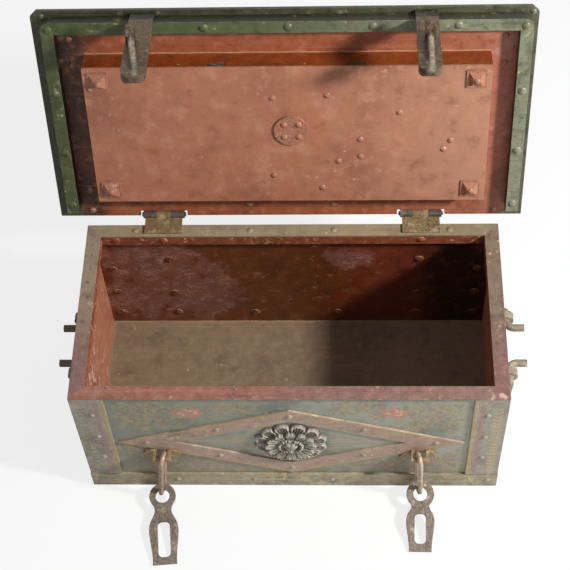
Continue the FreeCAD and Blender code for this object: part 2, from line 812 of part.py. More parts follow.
def lock_works():
    """Bolts, carriage, guides and friction spring, closed and drawn back."""
    half_bolt = bolt_width / 2
    bolts = []
    guides = []
    for side in (-1, 1):
        x = side * bolt_x
        bolt_run = (bolt_tip, bolt_tip + bolt_length)
        bolts.append(block((x - half_bolt, x + half_bolt), bolt_run, (bolt_under, bolt_top)))
        guide_start = case_front + sheet_thick + guide_from_wall
        gap = loose_gap
        outer = half_bolt + gap + guide_thick
        guide_run = (guide_start, guide_start + guide_length)
        staple = block((x - outer, x + outer), guide_run,
                       (cover_inside, bolt_top + gap + guide_thick))
        tunnel = block((x - half_bolt - gap, x + half_bolt + gap), guide_run,
                       (cover_inside, bolt_top + gap))
        feet = [
            block((x + end * outer, x + end * (outer + guide_foot)), guide_run,
                  (cover_inside, cover_inside + guide_thick))
            for end in (-1, 1)
        ]
        rest = block((x - half_bolt + rest_inset, x + half_bolt - rest_inset), guide_run,
                     (cover_inside, bolt_under - gap))
        guides.append(staple.cut(tunnel).fuse(feet).removeSplitter())
        guides.append(rest)
    carriage_half = bolt_x + half_bolt + carriage_overhang
    carriage = block((-carriage_half, carriage_half), (carriage_front, carriage_front + carriage_width),
                     (bolt_top, bolt_top + carriage_thick))
    carriage_back = carriage_front + carriage_width
    half_talon = talon_width / 2
    talon = block((key_x - half_talon, key_x + half_talon), (carriage_back - talon_depth, carriage_back),
                  (bolt_top, bolt_top + carriage_thick))
    carriage = carriage.cut(talon)
    over = bolt_top + carriage_thick + loose_gap
    foot_y = carriage_back + spring_behind
    foot_end = foot_y + spring_foot
    spring_end = carriage_front - spring_reach
    profile = [
        (foot_y, cover_inside), (foot_end, cover_inside), (foot_end, cover_inside + spring_thick),
        (foot_y + spring_thick, cover_inside + spring_thick), (foot_y + spring_thick, over + spring_thick),
        (spring_end, over + spring_thick), (spring_end, over), (foot_y, over),
    ]
    spring = prism([Vec(key_x + spring_from_key, y, z) for y, z in profile], Vec(spring_width, 0, 0))
    return {
        "lock_bolts": Part.makeCompound(bolts),
        "bolt_carriage": carriage,
        "bolt_guides": Part.makeCompound(guides),
        "lock_spring": spring,
    }


def escutcheon():
    """Keyhole plate on the lid and its swinging cover, closed."""
    centre = Vec(key_x, key_y, strap_top)
    hole = keyhole(strap_top, strap_top + escutcheon_thick)
    plate = cylinder(centre, Z_AXIS, escutcheon_radius, escutcheon_thick).cut(hole)
    pivot = centre + Vec(0, -cover_pivot, escutcheon_thick)
    pin_height = swing_cover_thick + 2 * loose_gap
    pin = cylinder(pivot, Z_AXIS, pivot_radius, pin_height)
    pin = pin.fuse(dome(pivot + Z_AXIS * pin_height, Z_AXIS, pivot_head_radius, pivot_head_height))
    plate = plate.fuse(pin)
    base_z = strap_top + escutcheon_thick + loose_gap
    top_z = base_z + swing_cover_thick
    half_neck = swing_neck_width / 2
    head = cylinder(Vec(pivot.x, pivot.y, base_z), Z_AXIS, swing_head_radius, swing_cover_thick)
    drop_centre = Vec(key_x, key_y + swing_drop_shift, base_z)
    drop = cylinder(drop_centre, Z_AXIS, swing_drop_radius, swing_cover_thick)
    neck = block((key_x - half_neck, key_x + half_neck), (pivot.y, key_y), (base_z, top_z))
    bore = cylinder(Vec(pivot.x, pivot.y, base_z), Z_AXIS, pivot_radius + running_gap, swing_cover_thick)
    cover = head.fuse([drop, neck]).cut(bore).removeSplitter()
    return {"keyhole_escutcheon": plate, "keyhole_cover": cover}


def bridge_staple(side):
    """Staple on the front: two leaves on the straps and a round bar that stands clear between two arms."""
    x = staple_x[side]
    bar_y = front_face - bridge_reach
    leaf_y = front_face - strap_thick
    outer = bridge_half_gap + bridge_arm
    shape = cylinder(Vec(x - outer, bar_y, bridge_z), X_AXIS, bridge_radius, 2 * outer)
    for end, outline in zip((-1, 1), wing_shapes[side]):
        leaf = prism([Vec(x + dx, leaf_y, bridge_z + dz) for dx, dz in outline], Vec(0, 2 * strap_thick, 0))
        arm = block((x + end * bridge_half_gap, x + end * outer), (bar_y, front_face),
                    (bridge_z - bridge_radius, bridge_z + bridge_radius))
        shape = shape.fuse([leaf, arm])
    return shape.removeSplitter()


def link_bottom(side):
    """Height of the centre of a link's lower bend."""
    return link_bottom_z[side] + link_wire + link_bend


def lean_link(shape, side):
    """Copy of a link piece, turned and leant about the middle of its bridge bar."""
    pivot = Vec(link_x[side], front_face - bridge_reach, bridge_z)
    return turned(turned(shape, pivot, Z_AXIS, link_turn[side]), pivot, Y_AXIS, link_lean[side])


def link(side):
    """Oval link that hangs on the bridge staple, with its two bars one behind the other."""
    x = link_x[side]
    bar_y = front_face - bridge_reach
    high = bridge_z + bridge_radius + loose_gap + link_wire - link_bend
    low = link_bottom(side)
    front_low, back_low = Vec(x, bar_y - link_bend, low), Vec(x, bar_y + link_bend, low)
    front_high, back_high = Vec(x, bar_y - link_bend, high), Vec(x, bar_y + link_bend, high)
    upper_path = Part.Wire([
        Part.LineSegment(front_low, front_high).toShape(),
        Part.Arc(front_high, Vec(x, bar_y, high + link_bend), back_high).toShape(),
        Part.LineSegment(back_high, back_low).toShape(),
    ])
    lower_path = Part.Wire([Part.Arc(back_low, Vec(x, bar_y, low - link_bend), front_low).toShape()])
    upper = upper_path.makePipeShell([Part.Wire(Part.makeCircle(link_wire, front_low, Z_AXIS))], True, False)
    lower = lower_path.makePipeShell([Part.Wire(Part.makeCircle(link_wire, back_low, Z_AXIS))], True, False)
    return lean_link(upper.fuse(lower).removeSplitter(), side)


def hasp_pivot(side):
    """Point where a hasp's ring rides in its link."""
    seat = Part.Vertex(link_x[side], front_face - bridge_reach, link_bottom(side) + hasp_seat[side])
    return lean_link(seat, side).Point + Vec(hasp_aside[side], 0, 0)


def hasp(side):
    """Flat hasp: ring on the link, waist, and a long slotted plate whose end rests on the ground."""
    ring = hasp_ring[side]
    hole = hasp_hole[side]
    to_hinge = (ring + hole) / 2
    reach = hasp_reach[side]
    half_thick = hasp_thick / 2
    half_width = hasp_width[side] / 2
    half_end = hasp_end_width[side] / 2
    shoulder_at = hasp_slot_start[side]
    half_sides = [
        (ring * math.cos(math.pi / 6), ring / 2), (hasp_neck[side] / 2, hasp_neck_at[side]),
        (half_width - hasp_shoulder_inset, shoulder_at),
        (half_width, shoulder_at + hasp_widest_share * (reach - shoulder_at)), (half_end, reach),
    ]
    right = curve_through([Vec(dx, -along, -half_thick) for dx, along in half_sides])
    left = curve_through([Vec(-dx, -along, -half_thick) for dx, along in half_sides])
    (top_dx, top_along), (end_dx, end_along) = half_sides[0], half_sides[-1]
    top_left, top_right = (Vec(dx, -top_along, -half_thick) for dx in (-top_dx, top_dx))
    end_left, end_right = (Vec(dx, -end_along, -half_thick) for dx in (-end_dx, end_dx))
    top = Part.LineSegment(top_left, top_right).toShape()
    end = Part.LineSegment(end_right, end_left).toShape()
    plate = Part.Face(Part.Wire(Part.__sortEdges__([top, right, end, left]))).extrude(Vec(0, 0, hasp_thick))
    ring_disc = cylinder(Vec(0, 0, -half_thick), Z_AXIS, ring, hasp_thick)
    ring_hole = cylinder(Vec(0, 0, -half_thick), Z_AXIS, hole, hasp_thick)
    slot_half = hasp_slot_width[side] / 2
    slot_start = hasp_slot_start[side]
    slot_run = (-slot_start - hasp_slot_length[side], -slot_start)
    slot = block((-slot_half, slot_half), slot_run, (-half_thick, half_thick))
    slot = slot.makeFillet(slot_half * hasp_slot_round, upright_edges(slot))
    shape = plate.fuse(ring_disc).cut([ring_hole, slot]).removeSplitter()
    pivot = hasp_pivot(side)
    shape.translate(Vec(0, -to_hinge, 0))
    dip = math.degrees(math.asin((pivot.z - half_thick - hasp_rest_gap) / (to_hinge + reach)))
    shape.rotate(ORIGIN, X_AXIS, dip)
    shape.rotate(ORIGIN, Z_AXIS, hasp_turn[side])
    shape.translate(pivot)
    return shape


def handle():
    """Right bail handle, hanging, with its ends turned out of the eye staples."""
    pivot_x = half_length + bail_pivot_out
    grip_x = pivot_x - bail_lean
    low_z = bail_pivot_z - bail_drop
    points = [
        Vec(pivot_x + stub_length, -stub_y, bail_pivot_z),
        Vec(pivot_x, -stub_y, bail_pivot_z),
        Vec(pivot_x, -bail_leg_y, bail_pivot_z),
        Vec(grip_x, -bail_leg_y, low_z),
        Vec(grip_x, bail_leg_y, low_z),
        Vec(pivot_x, bail_leg_y, bail_pivot_z),
        Vec(pivot_x, stub_y, bail_pivot_z),
        Vec(pivot_x + stub_length, stub_y, bail_pivot_z),
    ]
    bends = [stub_bend, leg_bend, bail_bend, bail_bend, leg_bend, stub_bend]
    return bar_along(points, bends, bail_wire)


def handle_eye(y):
    """Right eye staple: a strap bent round the bail, with a foot above and below."""
    pivot_x = half_length + bail_pivot_out
    inner = bail_wire + loose_gap
    outer = inner + eye_strap_thick
    start_y = y - eye_strap_width / 2
    shape = cylinder(Vec(pivot_x, start_y, bail_pivot_z), Y_AXIS, outer, eye_strap_width)
    ends = (start_y, start_y + eye_strap_width)
    shape = shape.fuse(block((half_length, pivot_x), ends, (bail_pivot_z - outer, bail_pivot_z + outer)))
    hollow = cylinder(Vec(pivot_x, start_y, bail_pivot_z), Y_AXIS, inner, eye_strap_width)
    hollow = hollow.fuse(block((half_length, pivot_x), ends, (bail_pivot_z - inner, bail_pivot_z + inner)))
    for end in (-1, 1):
        shape = shape.fuse(block((half_length, half_length + eye_strap_thick), ends,
                                 (bail_pivot_z + end * inner, bail_pivot_z + end * (outer + eye_foot))))
    return shape.cut(hollow).removeSplitter()


def body_rivets():
    """Rivet heads on the outside of the body."""
    front = Vec(0, -1, 0)
    back = Vec(0, 1, 0)
    heads = []
    corner_x = half_length - corner_width / 2 - corner_rivet_shift
    bail_heights = (
        base_height + bail_rivet_over_base, bail_pivot_z - bail_rivet_below_eye,
        bail_pivot_z + bail_rivet_above_eye, body_height - bail_rivet_under_rim,
    )
    for side in (-1, 1):
        for z in corner_rivet_heights():
            heads.append(rivet(Vec(side * corner_x, front_face, z), front))
            heads.append(rivet(Vec(side * corner_x, half_depth, z), back))
            for end in (-1, 1):
                corner_y = end * (half_depth - corner_rivet_from_edge)
                heads.append(rivet(Vec(side * half_length, corner_y, z), Vec(side, 0, 0)))
        for z in bail_heights:
            for y in (-bail_eye_y, bail_eye_y):
                heads.append(rivet(Vec(side * half_length, y, z), Vec(side, 0, 0)))
        for z in hinge_rivet_heights():
            heads.append(rivet(Vec(side * fitting_x, half_depth, z), back))
    band_y = wall_half_depth + base_thick
    band_x = wall_half_length + base_thick
    spacing = (body_length - 2 * base_rivet_inset) / (base_rivet_count - 1)
    for index in range(base_rivet_count):
        x = base_rivet_inset - half_length + index * spacing
        heads.append(rivet(Vec(x, -band_y, base_rivet_z), front))
        heads.append(rivet(Vec(x, band_y, base_rivet_z), back))
    for side in (-1, 1):
        for y in (side_rivet_inset - half_depth, 0, half_depth - side_rivet_inset):
            heads.append(rivet(Vec(side * band_x, y, base_rivet_z), Vec(side, 0, 0)))
    slope = lattice_half_height / lattice_half_length
    middle = lattice_half_length - lattice_width / 2 / math.sin(math.atan(slope))
    top = middle * slope
    for side in (-1, 1):
        heads.append(rivet(Vec(side * middle, front_face, lattice_z), front))
        heads.append(rivet(Vec(0, front_face, lattice_z + side * top), front))
        for up in (-1, 1):
            heads.append(rivet(Vec(side * middle / 2, front_face, lattice_z + up * top / 2), front))
    return Part.makeCompound(heads)


def corner_rivet_heights():
    """Heights of the three rivets on each corner angle."""
    low = base_height + corner_rivet_over_base
    high = body_height - corner_rivet_under_rim
    return (low, (low + high) / 2, high)


def hinge_rivet_heights():
    """Heights of the four rivets on each strap of the back wall."""
    low = base_height + strap_rivet_over_base
    step = (body_height - strap_rivet_under_rim - low) / 3
    return [low + index * step for index in range(4)]


def rim_rivets():
    """Rivet heads on the back of the rim and tails inside the back wall."""
    up = Vec(0, 0, 1)
    inward = Vec(0, -1, 0)
    heads = []
    rim_y = half_depth - rim_width / 2
    for x in (rim_rivet_half_gap, half_length - rim_rivet_inset):
        for side in (-1, 1):
            heads.append(small_rivet(Vec(side * x, rim_y, body_height), up))
    leg_face = half_depth - rim_width
    for x in (leg_rivet_inset - half_length, -fitting_x, fitting_x):
        heads.append(large_rivet(Vec(x, leg_face, body_height - rim_leg / 2), inward))
    wall_face = wall_half_depth - sheet_thick
    strap_low, strap_lower, strap_upper, strap_high = hinge_rivet_heights()
    corner_low, corner_middle, corner_high = corner_rivet_heights()
    for side in (-1, 1):
        for z in (tail_z, strap_low, strap_upper):
            heads.append(tail(Vec(side * fitting_x, wall_face, z), inward))
        for z in (tail_z, corner_low, corner_middle):
            heads.append(tail(Vec(side * (half_length - tail_from_corner), wall_face, z), inward))
        heads.append(tail(Vec(side * tail_middle_x, wall_face, tail_z), inward))
    return Part.makeCompound(heads)


def lid_rivets():
    """Rivet heads on the lip, on the lid's underside and on its top straps, closed."""
    down = Vec(0, 0, -1)
    up = Vec(0, 0, 1)
    heads = []
    lip_middle = lip_half_width - lip_width / 2
    lip_front_middle = lip_front + lip_width / 2
    sheet_x = lip_half_width - lip_width - sheet_rivet_from_lip
    sheet_heads = (
        lip_back + sheet_rivet_step / 2, lip_back - 3 * sheet_rivet_step / 2,
        case_front + sheet_rivet_step, lip_front + lip_width + sheet_rivet_step,
    )
    lid_length = lid_back - lid_front
    for side in (-1, 1):
        heads.append(large_rivet(Vec(side * (lip_middle - 2), lip_front_middle + 2, lip_under), down))
        corner = Vec(side * lip_half_width, lip_front, sheet_under)
        heads.append(dome(corner, down, corner_tail_radius, rivet_height))
        for from_back in (lip_rivet_inset, lip_rivet_middle, lip_rivet_far):
            heads.append(large_rivet(Vec(side * lip_middle, lip_back - from_back, lip_under), down))
        for y in sheet_heads:
            heads.append(small_rivet(Vec(side * sheet_x, y, sheet_under), down))
        heads.append(small_rivet(Vec(side * sheet_rivet_x, lip_back, sheet_under), down))
        border_x = lid_left + border_width / 2 if side < 0 else lid_right - border_width / 2
        for from_front in (
            top_rivet_inset, top_rivet_inset + top_rivet_gap, lid_length - top_rivet_inset - top_rivet_gap,
            lid_length - top_rivet_inset,
        ):
            heads.append(rivet(Vec(border_x, lid_front + from_front, strap_top), up))
        for x_top in (top_rivet_middle_x, lid_right - top_rivet_from_side):
            for y in (lid_front + border_width / 2, lid_back - border_width / 2, key_y):
                heads.append(rivet(Vec(side * x_top, y, strap_top), up))
        for inset in (top_rivet_inset, top_rivet_inset + strap_rivet_gap):
            heads.append(rivet(Vec(side * fitting_x, lid_front + inset, strap_top), up))
            heads.append(rivet(Vec(side * fitting_x, lid_back - inset, strap_top), up))
        heads.append(rivet(Vec(side * fitting_x, key_y, strap_top), up))
    for index in range(lip_rivet_count):
        x = lip_rivet_first + index * lip_rivet_gap
        heads.append(large_rivet(Vec(x, lip_front_middle, lip_under), down))
    return Part.makeCompound(heads)


def cover_rivets():
    """Rivet heads on the lock cover: guides, spring, disc and the works behind it, closed."""
    down = Vec(0, 0, -1)
    heads = []
    for x_in, from_back in cover_heads_from_side:
        heads.append(small_rivet(Vec(case_half_width - x_in, case_back - from_back, case_under), down))
    for from_key, from_back in cover_heads_from_key:
        heads.append(small_rivet(Vec(key_x + from_key, case_back - from_back, case_under), down))
    for across in (-disc_rivet_inset, disc_rivet_inset):
        for along in (-disc_rivet_inset, disc_rivet_inset):
            heads.append(small_rivet(Vec(key_x + across, key_y + along, case_under - disc_thick), down))
    return Part.makeCompound(heads)


def build():
    """All pieces by name, with the lid pieces swung open."""
    nodes = {}
    nodes.update(body_sheets())
    nodes.update(frame_straps())
    nodes.update(wall_straps())
    nodes.update(rosette())
    nodes.update(hinges())
    nodes["body_rivets"] = body_rivets()
    nodes["rim_rivets"] = rim_rivets()
    for name in ("left", "right"):
        nodes["bridge_staple_%s" % name] = bridge_staple(name).cut(nodes["front_diamond_straps"])
        nodes["link_%s" % name] = link(name)
        nodes["hasp_%s" % name] = hasp(name)
    right_bar = handle()
    right_eyes = [handle_eye(-bail_eye_y), handle_eye(bail_eye_y)]
    nodes["handle_right"] = right_bar
    nodes["handle_left"] = mirror_x(right_bar)
    nodes["handle_staples"] = Part.makeCompound(right_eyes + [mirror_x(eye) for eye in right_eyes])

    lid = {}
    lid.update(lid_top())
    lid.update(lip())
    lid.update(lock_case())
    lid.update(lock_works())
    lid.update(escutcheon())
    lid["hook_plate_left"] = hook_plate("left")
    lid["hook_plate_right"] = hook_plate("right")
    lid["lid_rivets"] = lid_rivets()
    lid["cover_rivets"] = cover_rivets()
    for name, shape in lid.items():
        nodes[name] = open_lid(shape)
    return nodes


def main():
    """Write one STEP file per piece."""
    os.makedirs("parts", exist_ok=True)
    for name, shape in build().items():
        shape.exportStep("parts/%s.step" % name)


main()
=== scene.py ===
"""Looks of the armada chest: worn oil paint on riveted iron, painted flowers and a cast rosette.

Metres, +Z up, the front faces -Y. The chest stands on z = 0 with its lid open.
"""

import json
import logging
import math
import random
from dataclasses import dataclass, field, replace
from enum import Enum
from typing import Callable, Mapping, Optional, Sequence, Union

import bpy
from mathutils import Matrix, Vector

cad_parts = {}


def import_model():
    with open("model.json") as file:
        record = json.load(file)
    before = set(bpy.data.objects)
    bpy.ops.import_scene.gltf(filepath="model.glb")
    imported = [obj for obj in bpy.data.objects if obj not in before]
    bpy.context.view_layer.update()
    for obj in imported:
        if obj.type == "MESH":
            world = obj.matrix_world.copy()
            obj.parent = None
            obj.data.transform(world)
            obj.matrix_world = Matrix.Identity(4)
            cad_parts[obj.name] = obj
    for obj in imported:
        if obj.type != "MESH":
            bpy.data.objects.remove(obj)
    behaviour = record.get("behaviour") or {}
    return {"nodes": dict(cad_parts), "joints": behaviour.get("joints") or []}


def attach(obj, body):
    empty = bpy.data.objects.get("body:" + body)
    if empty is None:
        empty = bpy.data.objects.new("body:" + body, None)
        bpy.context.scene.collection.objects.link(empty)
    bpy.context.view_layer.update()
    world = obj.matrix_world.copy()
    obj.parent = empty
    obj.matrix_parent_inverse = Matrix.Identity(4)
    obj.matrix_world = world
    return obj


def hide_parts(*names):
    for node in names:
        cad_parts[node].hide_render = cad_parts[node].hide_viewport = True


logging.basicConfig(level=logging.INFO, format="%(message)s")
LOG = logging.getLogger("armada_chest")

Colour = tuple[float, float, float, float]
Point = tuple[float, float, float]
Place = tuple[float, float]
Socket = bpy.types.NodeSocket
Material = bpy.types.Material
Value = Union[Socket, float, Colour]

MM = 0.001
SEAM = 0.2 * MM
WHITE = (1.0, 1.0, 1.0, 1.0)
EVEN = (1.0, 1.0, 1.0)
QUARTERS = ((-1, -1), (-1, 1), (1, -1), (1, 1))


def paint(code: str) -> Colour:
    """A paint colour from its sRGB hex code.

    Args:
        code: six hex digits, as in "a66a50".

    Returns:
        Linear red, green, blue and 1.
    """
    parts = [int(code[index:index + 2], 16) / 255 for index in (0, 2, 4)]
    linear = [p / 12.92 if p <= 0.04045 else ((p + 0.055) / 1.055) ** 2.4 for p in parts]
    return (linear[0], linear[1], linear[2], 1.0)


def add_object(name: str, data: bpy.types.ID) -> bpy.types.Object:
    """Puts a new object in the scene.

    Args:
        name: name of the object.
        data: its mesh, lamp or camera.

    Returns:
        The object.
    """
    made = bpy.data.objects.new(name, data)
    bpy.context.scene.collection.objects.link(made)
    return made


def add_mesh(
    name: str, points: Sequence[Sequence[float]], faces: Sequence[tuple[int, ...]], material: Material,
) -> bpy.types.Object:
    """Puts a new mesh in the scene.

    Args:
        name: name of the object.
        points: its corners.
        faces: the corners of each face.
        material: its finish.

    Returns:
        The object.
    """
    mesh = bpy.data.meshes.new(name)
    mesh.from_pydata([tuple(point) for point in points], [], faces)
    mesh.update()
    mesh.materials.append(material)
    return add_object(name, mesh)


class Axis(Enum):
    """The axes of the chest."""

    ACROSS = 0
    DEPTH = 1
    UP = 2


class Face(Enum):
    """Which sides of a piece carry its second coat."""

    ONE = "one coat"
    INSIDE_BODY = "inside of the body box"
    BELOW_RIM = "below the rim's top"
    UNDER_LID = "underside of the lid within the lip"
    ABOVE_LIP = "behind the face of the lip"
    KNUCKLES = "round the hinge pin"


@dataclass(frozen=True)
class Spot:
    """A round patch where the paint is rubbed away."""

    centre: Point
    radius: float
    amount: float
    ragged: float = 2.6
    core: float = 0.15


@dataclass(frozen=True)
class Fade:
    """A slow change of colour along one axis, from one place to another."""

    colour: str
    axis: Axis
    start: float
    end: float


class Graph:
    """Node graph of a material or of the world, with short calls for the nodes that the finishes share."""

    bevel_samples = 4
    relief = 1.1 * MM
    soft_edge = 0.7 * MM
    gloss = 0.4
    varnish_rough = 0.28

    def __init__(self, owner: bpy.types.ID) -> None:
        """Starts an empty graph.

        Args:
            owner: the new material or world.
        """
        self.owner = owner
        owner.use_nodes = True
        self.tree = owner.node_tree
        self.tree.nodes.clear()
        self.place = self.node("ShaderNodeTexCoord").outputs["Object"]

    def node(
        self, kind: str, inputs: Optional[Mapping[Union[str, int], Value]] = None, **settings: object,
    ) -> bpy.types.Node:
        """Adds a node, sets its options and feeds its inputs.

        Args:
            kind: type of the node.
            inputs: output sockets to link, or plain values, by the name or number of the input.
            settings: options of the node.

        Returns:
            The node.
        """
        made = self.tree.nodes.new(kind)
        for key, value in settings.items():
            setattr(made, key, value)
        for key, value in (inputs or {}).items():
            if isinstance(value, Socket):
                self.tree.links.new(value, made.inputs[key])
            else:
                made.inputs[key].default_value = value
        return made

    def math(self, operation: str, first: Value, second: Value = 0.0) -> Socket:
        """One step of arithmetic."""
        return self.node("ShaderNodeMath", {0: first, 1: second}, operation=operation).outputs[0]

    def times(self, first: Value, second: Value) -> Socket:
        """Product of two values."""
        return self.math("MULTIPLY", first, second)

    def plus(self, first: Value, second: Value) -> Socket:
        """Sum of two values."""
        return self.math("ADD", first, second)

    def minus(self, first: Value, second: Value) -> Socket:
        """First value less the second."""
        return self.math("SUBTRACT", first, second)

    def most(self, first: Value, second: Value) -> Socket:
        """Larger of two values."""
        return self.math("MAXIMUM", first, second)

    def size(self, value: Value) -> Socket:
        """A value without its sign."""
        return self.math("ABSOLUTE", value)

    def mix(self, kind: str, share: Value, first: Value, second: Value) -> Socket:
        """Mixes two values of a kind by a share from 0 to 1."""
        made = self.node("ShaderNodeMix", {"Factor": share, "A": first, "B": second}, data_type=kind)
        return made.outputs["Result"]

    def blend(self, share: Value, first: Value, second: Value) -> Socket:
        """Mixes two colours by a share from 0 to 1."""
        return self.mix("RGBA", share, first, second)

    def swap(self, share: Value, first: Value, second: Value) -> Socket:
        """Mixes two numbers by a share from 0 to 1."""
        return self.mix("FLOAT", share, first, second)

    def step(self, value: Value, low: float, high: float) -> Socket:
        """Smooth step from 0 to 1.

        Args:
            value: what is measured.
            low: where the step is 0; it may be the larger.
            high: where the step is 1.

        Returns:
            A share from 0 to 1.
        """
        flip = float(low > high)
        ends = {"From Min": min(low, high), "From Max": max(low, high), "To Min": flip, "To Max": 1.0 - flip}
        made = self.node("ShaderNodeMapRange", {"Value": value, **ends}, interpolation_type="SMOOTHSTEP")
        return made.outputs["Result"]

    def cover(self, colour: Value, code: str, value: Value, low: float, high: float, share: Value) -> Socket:
        """Lays a share of a paint over a colour, from nothing where a value is low to all where it is high."""
        return self.blend(self.times(self.step(value, low, high), share), colour, paint(code))

    def stretched(self, stretch: Point = EVEN, shift: float = 0.0) -> Socket:
        """The place, moved by a shift and scaled by a different amount along each axis."""
        moved = {"Vector": self.place, "Location": (shift, 0.37 * shift, -0.61 * shift), "Scale": stretch}
        return self.node("ShaderNodeMapping", moved).outputs["Vector"]

    def noise(
        self, scale: float, detail: float = 4.0, rough: float = 0.6, stretch: Point = EVEN, shift: float = 0.0,
    ) -> Socket:
        """Cloudy pattern.

        Args:
            scale: clouds per metre.
            detail: octaves.
            rough: strength of the finer octaves.
            stretch: extra scale along each axis.
            shift: offset that makes an unlike pattern.

        Returns:
            A value near 0.5, from 0 to 1.
        """
        cloud = {"Vector": self.stretched(stretch, shift), "Scale": scale, "Detail": detail, "Roughness": rough}
        return self.node("ShaderNodeTexNoise", cloud).outputs["Fac"]

    def cells(self, scale: float, shift: float) -> tuple[Socket, Socket]:
        """Scattered points.

        Args:
            scale: points per metre.
            shift: offset that makes an unlike pattern.

        Returns:
            Distance to the nearest point, and a random value for each point.
        """
        made = self.node("ShaderNodeTexVoronoi", {"Vector": self.stretched(shift=shift), "Scale": scale})
        parts = self.node("ShaderNodeSeparateColor", {0: made.outputs["Color"]})
        return made.outputs["Distance"], parts.outputs[0]

    def along(self, axis: Axis, place: Optional[Socket] = None) -> Socket:
        """One coordinate of the place."""
        return self.node("ShaderNodeSeparateXYZ", {0: place or self.place}).outputs[axis.value]

    def attribute(self, name: str) -> Socket:
        """A value that the mesh stores for each point."""
        return self.node("ShaderNodeAttribute", attribute_name=name).outputs["Fac"]

    def bevel(self, radius: float) -> Socket:
        """Direction of the surface as if its edges were rounded."""
        return self.node("ShaderNodeBevel", {"Radius": radius}, samples=self.bevel_samples).outputs[0]

    def closed_place(self, pivot: Vector, angle: float) -> Socket:
        """The place that a point of the open lid has when the lid is shut."""
        swing = {"Vector": self.place, "Center": pivot, "Angle": angle}
        return self.node("ShaderNodeVectorRotate", swing, rotation_type="X_AXIS").outputs[0]

    def near(self, spot: Spot, ragged: Value) -> Socket:
        """How near a spot is: its amount at the middle, and 0 past its ragged edge.

        Args:
            spot: the patch.
            ragged: cloudy value near 0.5 that pushes the edge in and out.

        Returns:
            A share from 0 to the spot's amount.
        """
        gap = self.node("ShaderNodeVectorMath", {0: self.place, 1: spot.centre}, operation="DISTANCE")
        push = self.times(self.minus(ragged, 0.5), spot.ragged * spot.radius)
        far = self.plus(gap.outputs["Value"], push)
        return self.times(self.step(far, spot.radius, spot.core * spot.radius), spot.amount)

    def finish(self, colour: Value, rough: Value, height: Value, metal: Value, varnish: float) -> Material:
        """Joins colour, roughness and relief in one surface.

        Args:
            colour: colour of the surface.
            rough: roughness of the surface.
            height: relief, from 0 to 1.
            metal: metallic share.
            varnish: weight of the varnish.

        Returns:
            The material.
        """
        bump = self.node("ShaderNodeBump", {
            "Strength": 1.0, "Distance": self.relief, "Height": height, "Normal": self.bevel(self.soft_edge)})
        shader = self.node("ShaderNodeBsdfPrincipled", {
            "Base Color": colour, "Roughness": rough, "Normal": bump.outputs[0], "Metallic": metal,
            "Specular IOR Level": self.gloss, "Coat Weight": varnish, "Coat Roughness": self.varnish_rough})
        self.node("ShaderNodeOutputMaterial", {"Surface": shader.outputs[0]})
        return self.owner


class Pattern:
    """Scales of the patterns that all coats share, in clouds or points per metre unless said otherwise."""

    grain = 620.0
    hammer = 34.0
    pit = 150.0
    chip = 70.0
    dab = 130.0
    bristle = 330.0
    streak = 150.0
    streak_run = 5.0
    scratch = 240.0
    scratch_run = 14.0
    scratch_gaps = (60.0, 150.0, 60.0)
    vein_gate = 46.0
    vein_stretch = (0.7, 1.0, 2.4)
    # Scale and shift of each set of veins
    veins = ((30.0, 3.3), (64.0, 6.1), (118.0, 9.9))
    # Patches for each broad cloud
    patch = 5.5
    # How far a fade wanders to each side, in metres
    fade_sway = 0.03


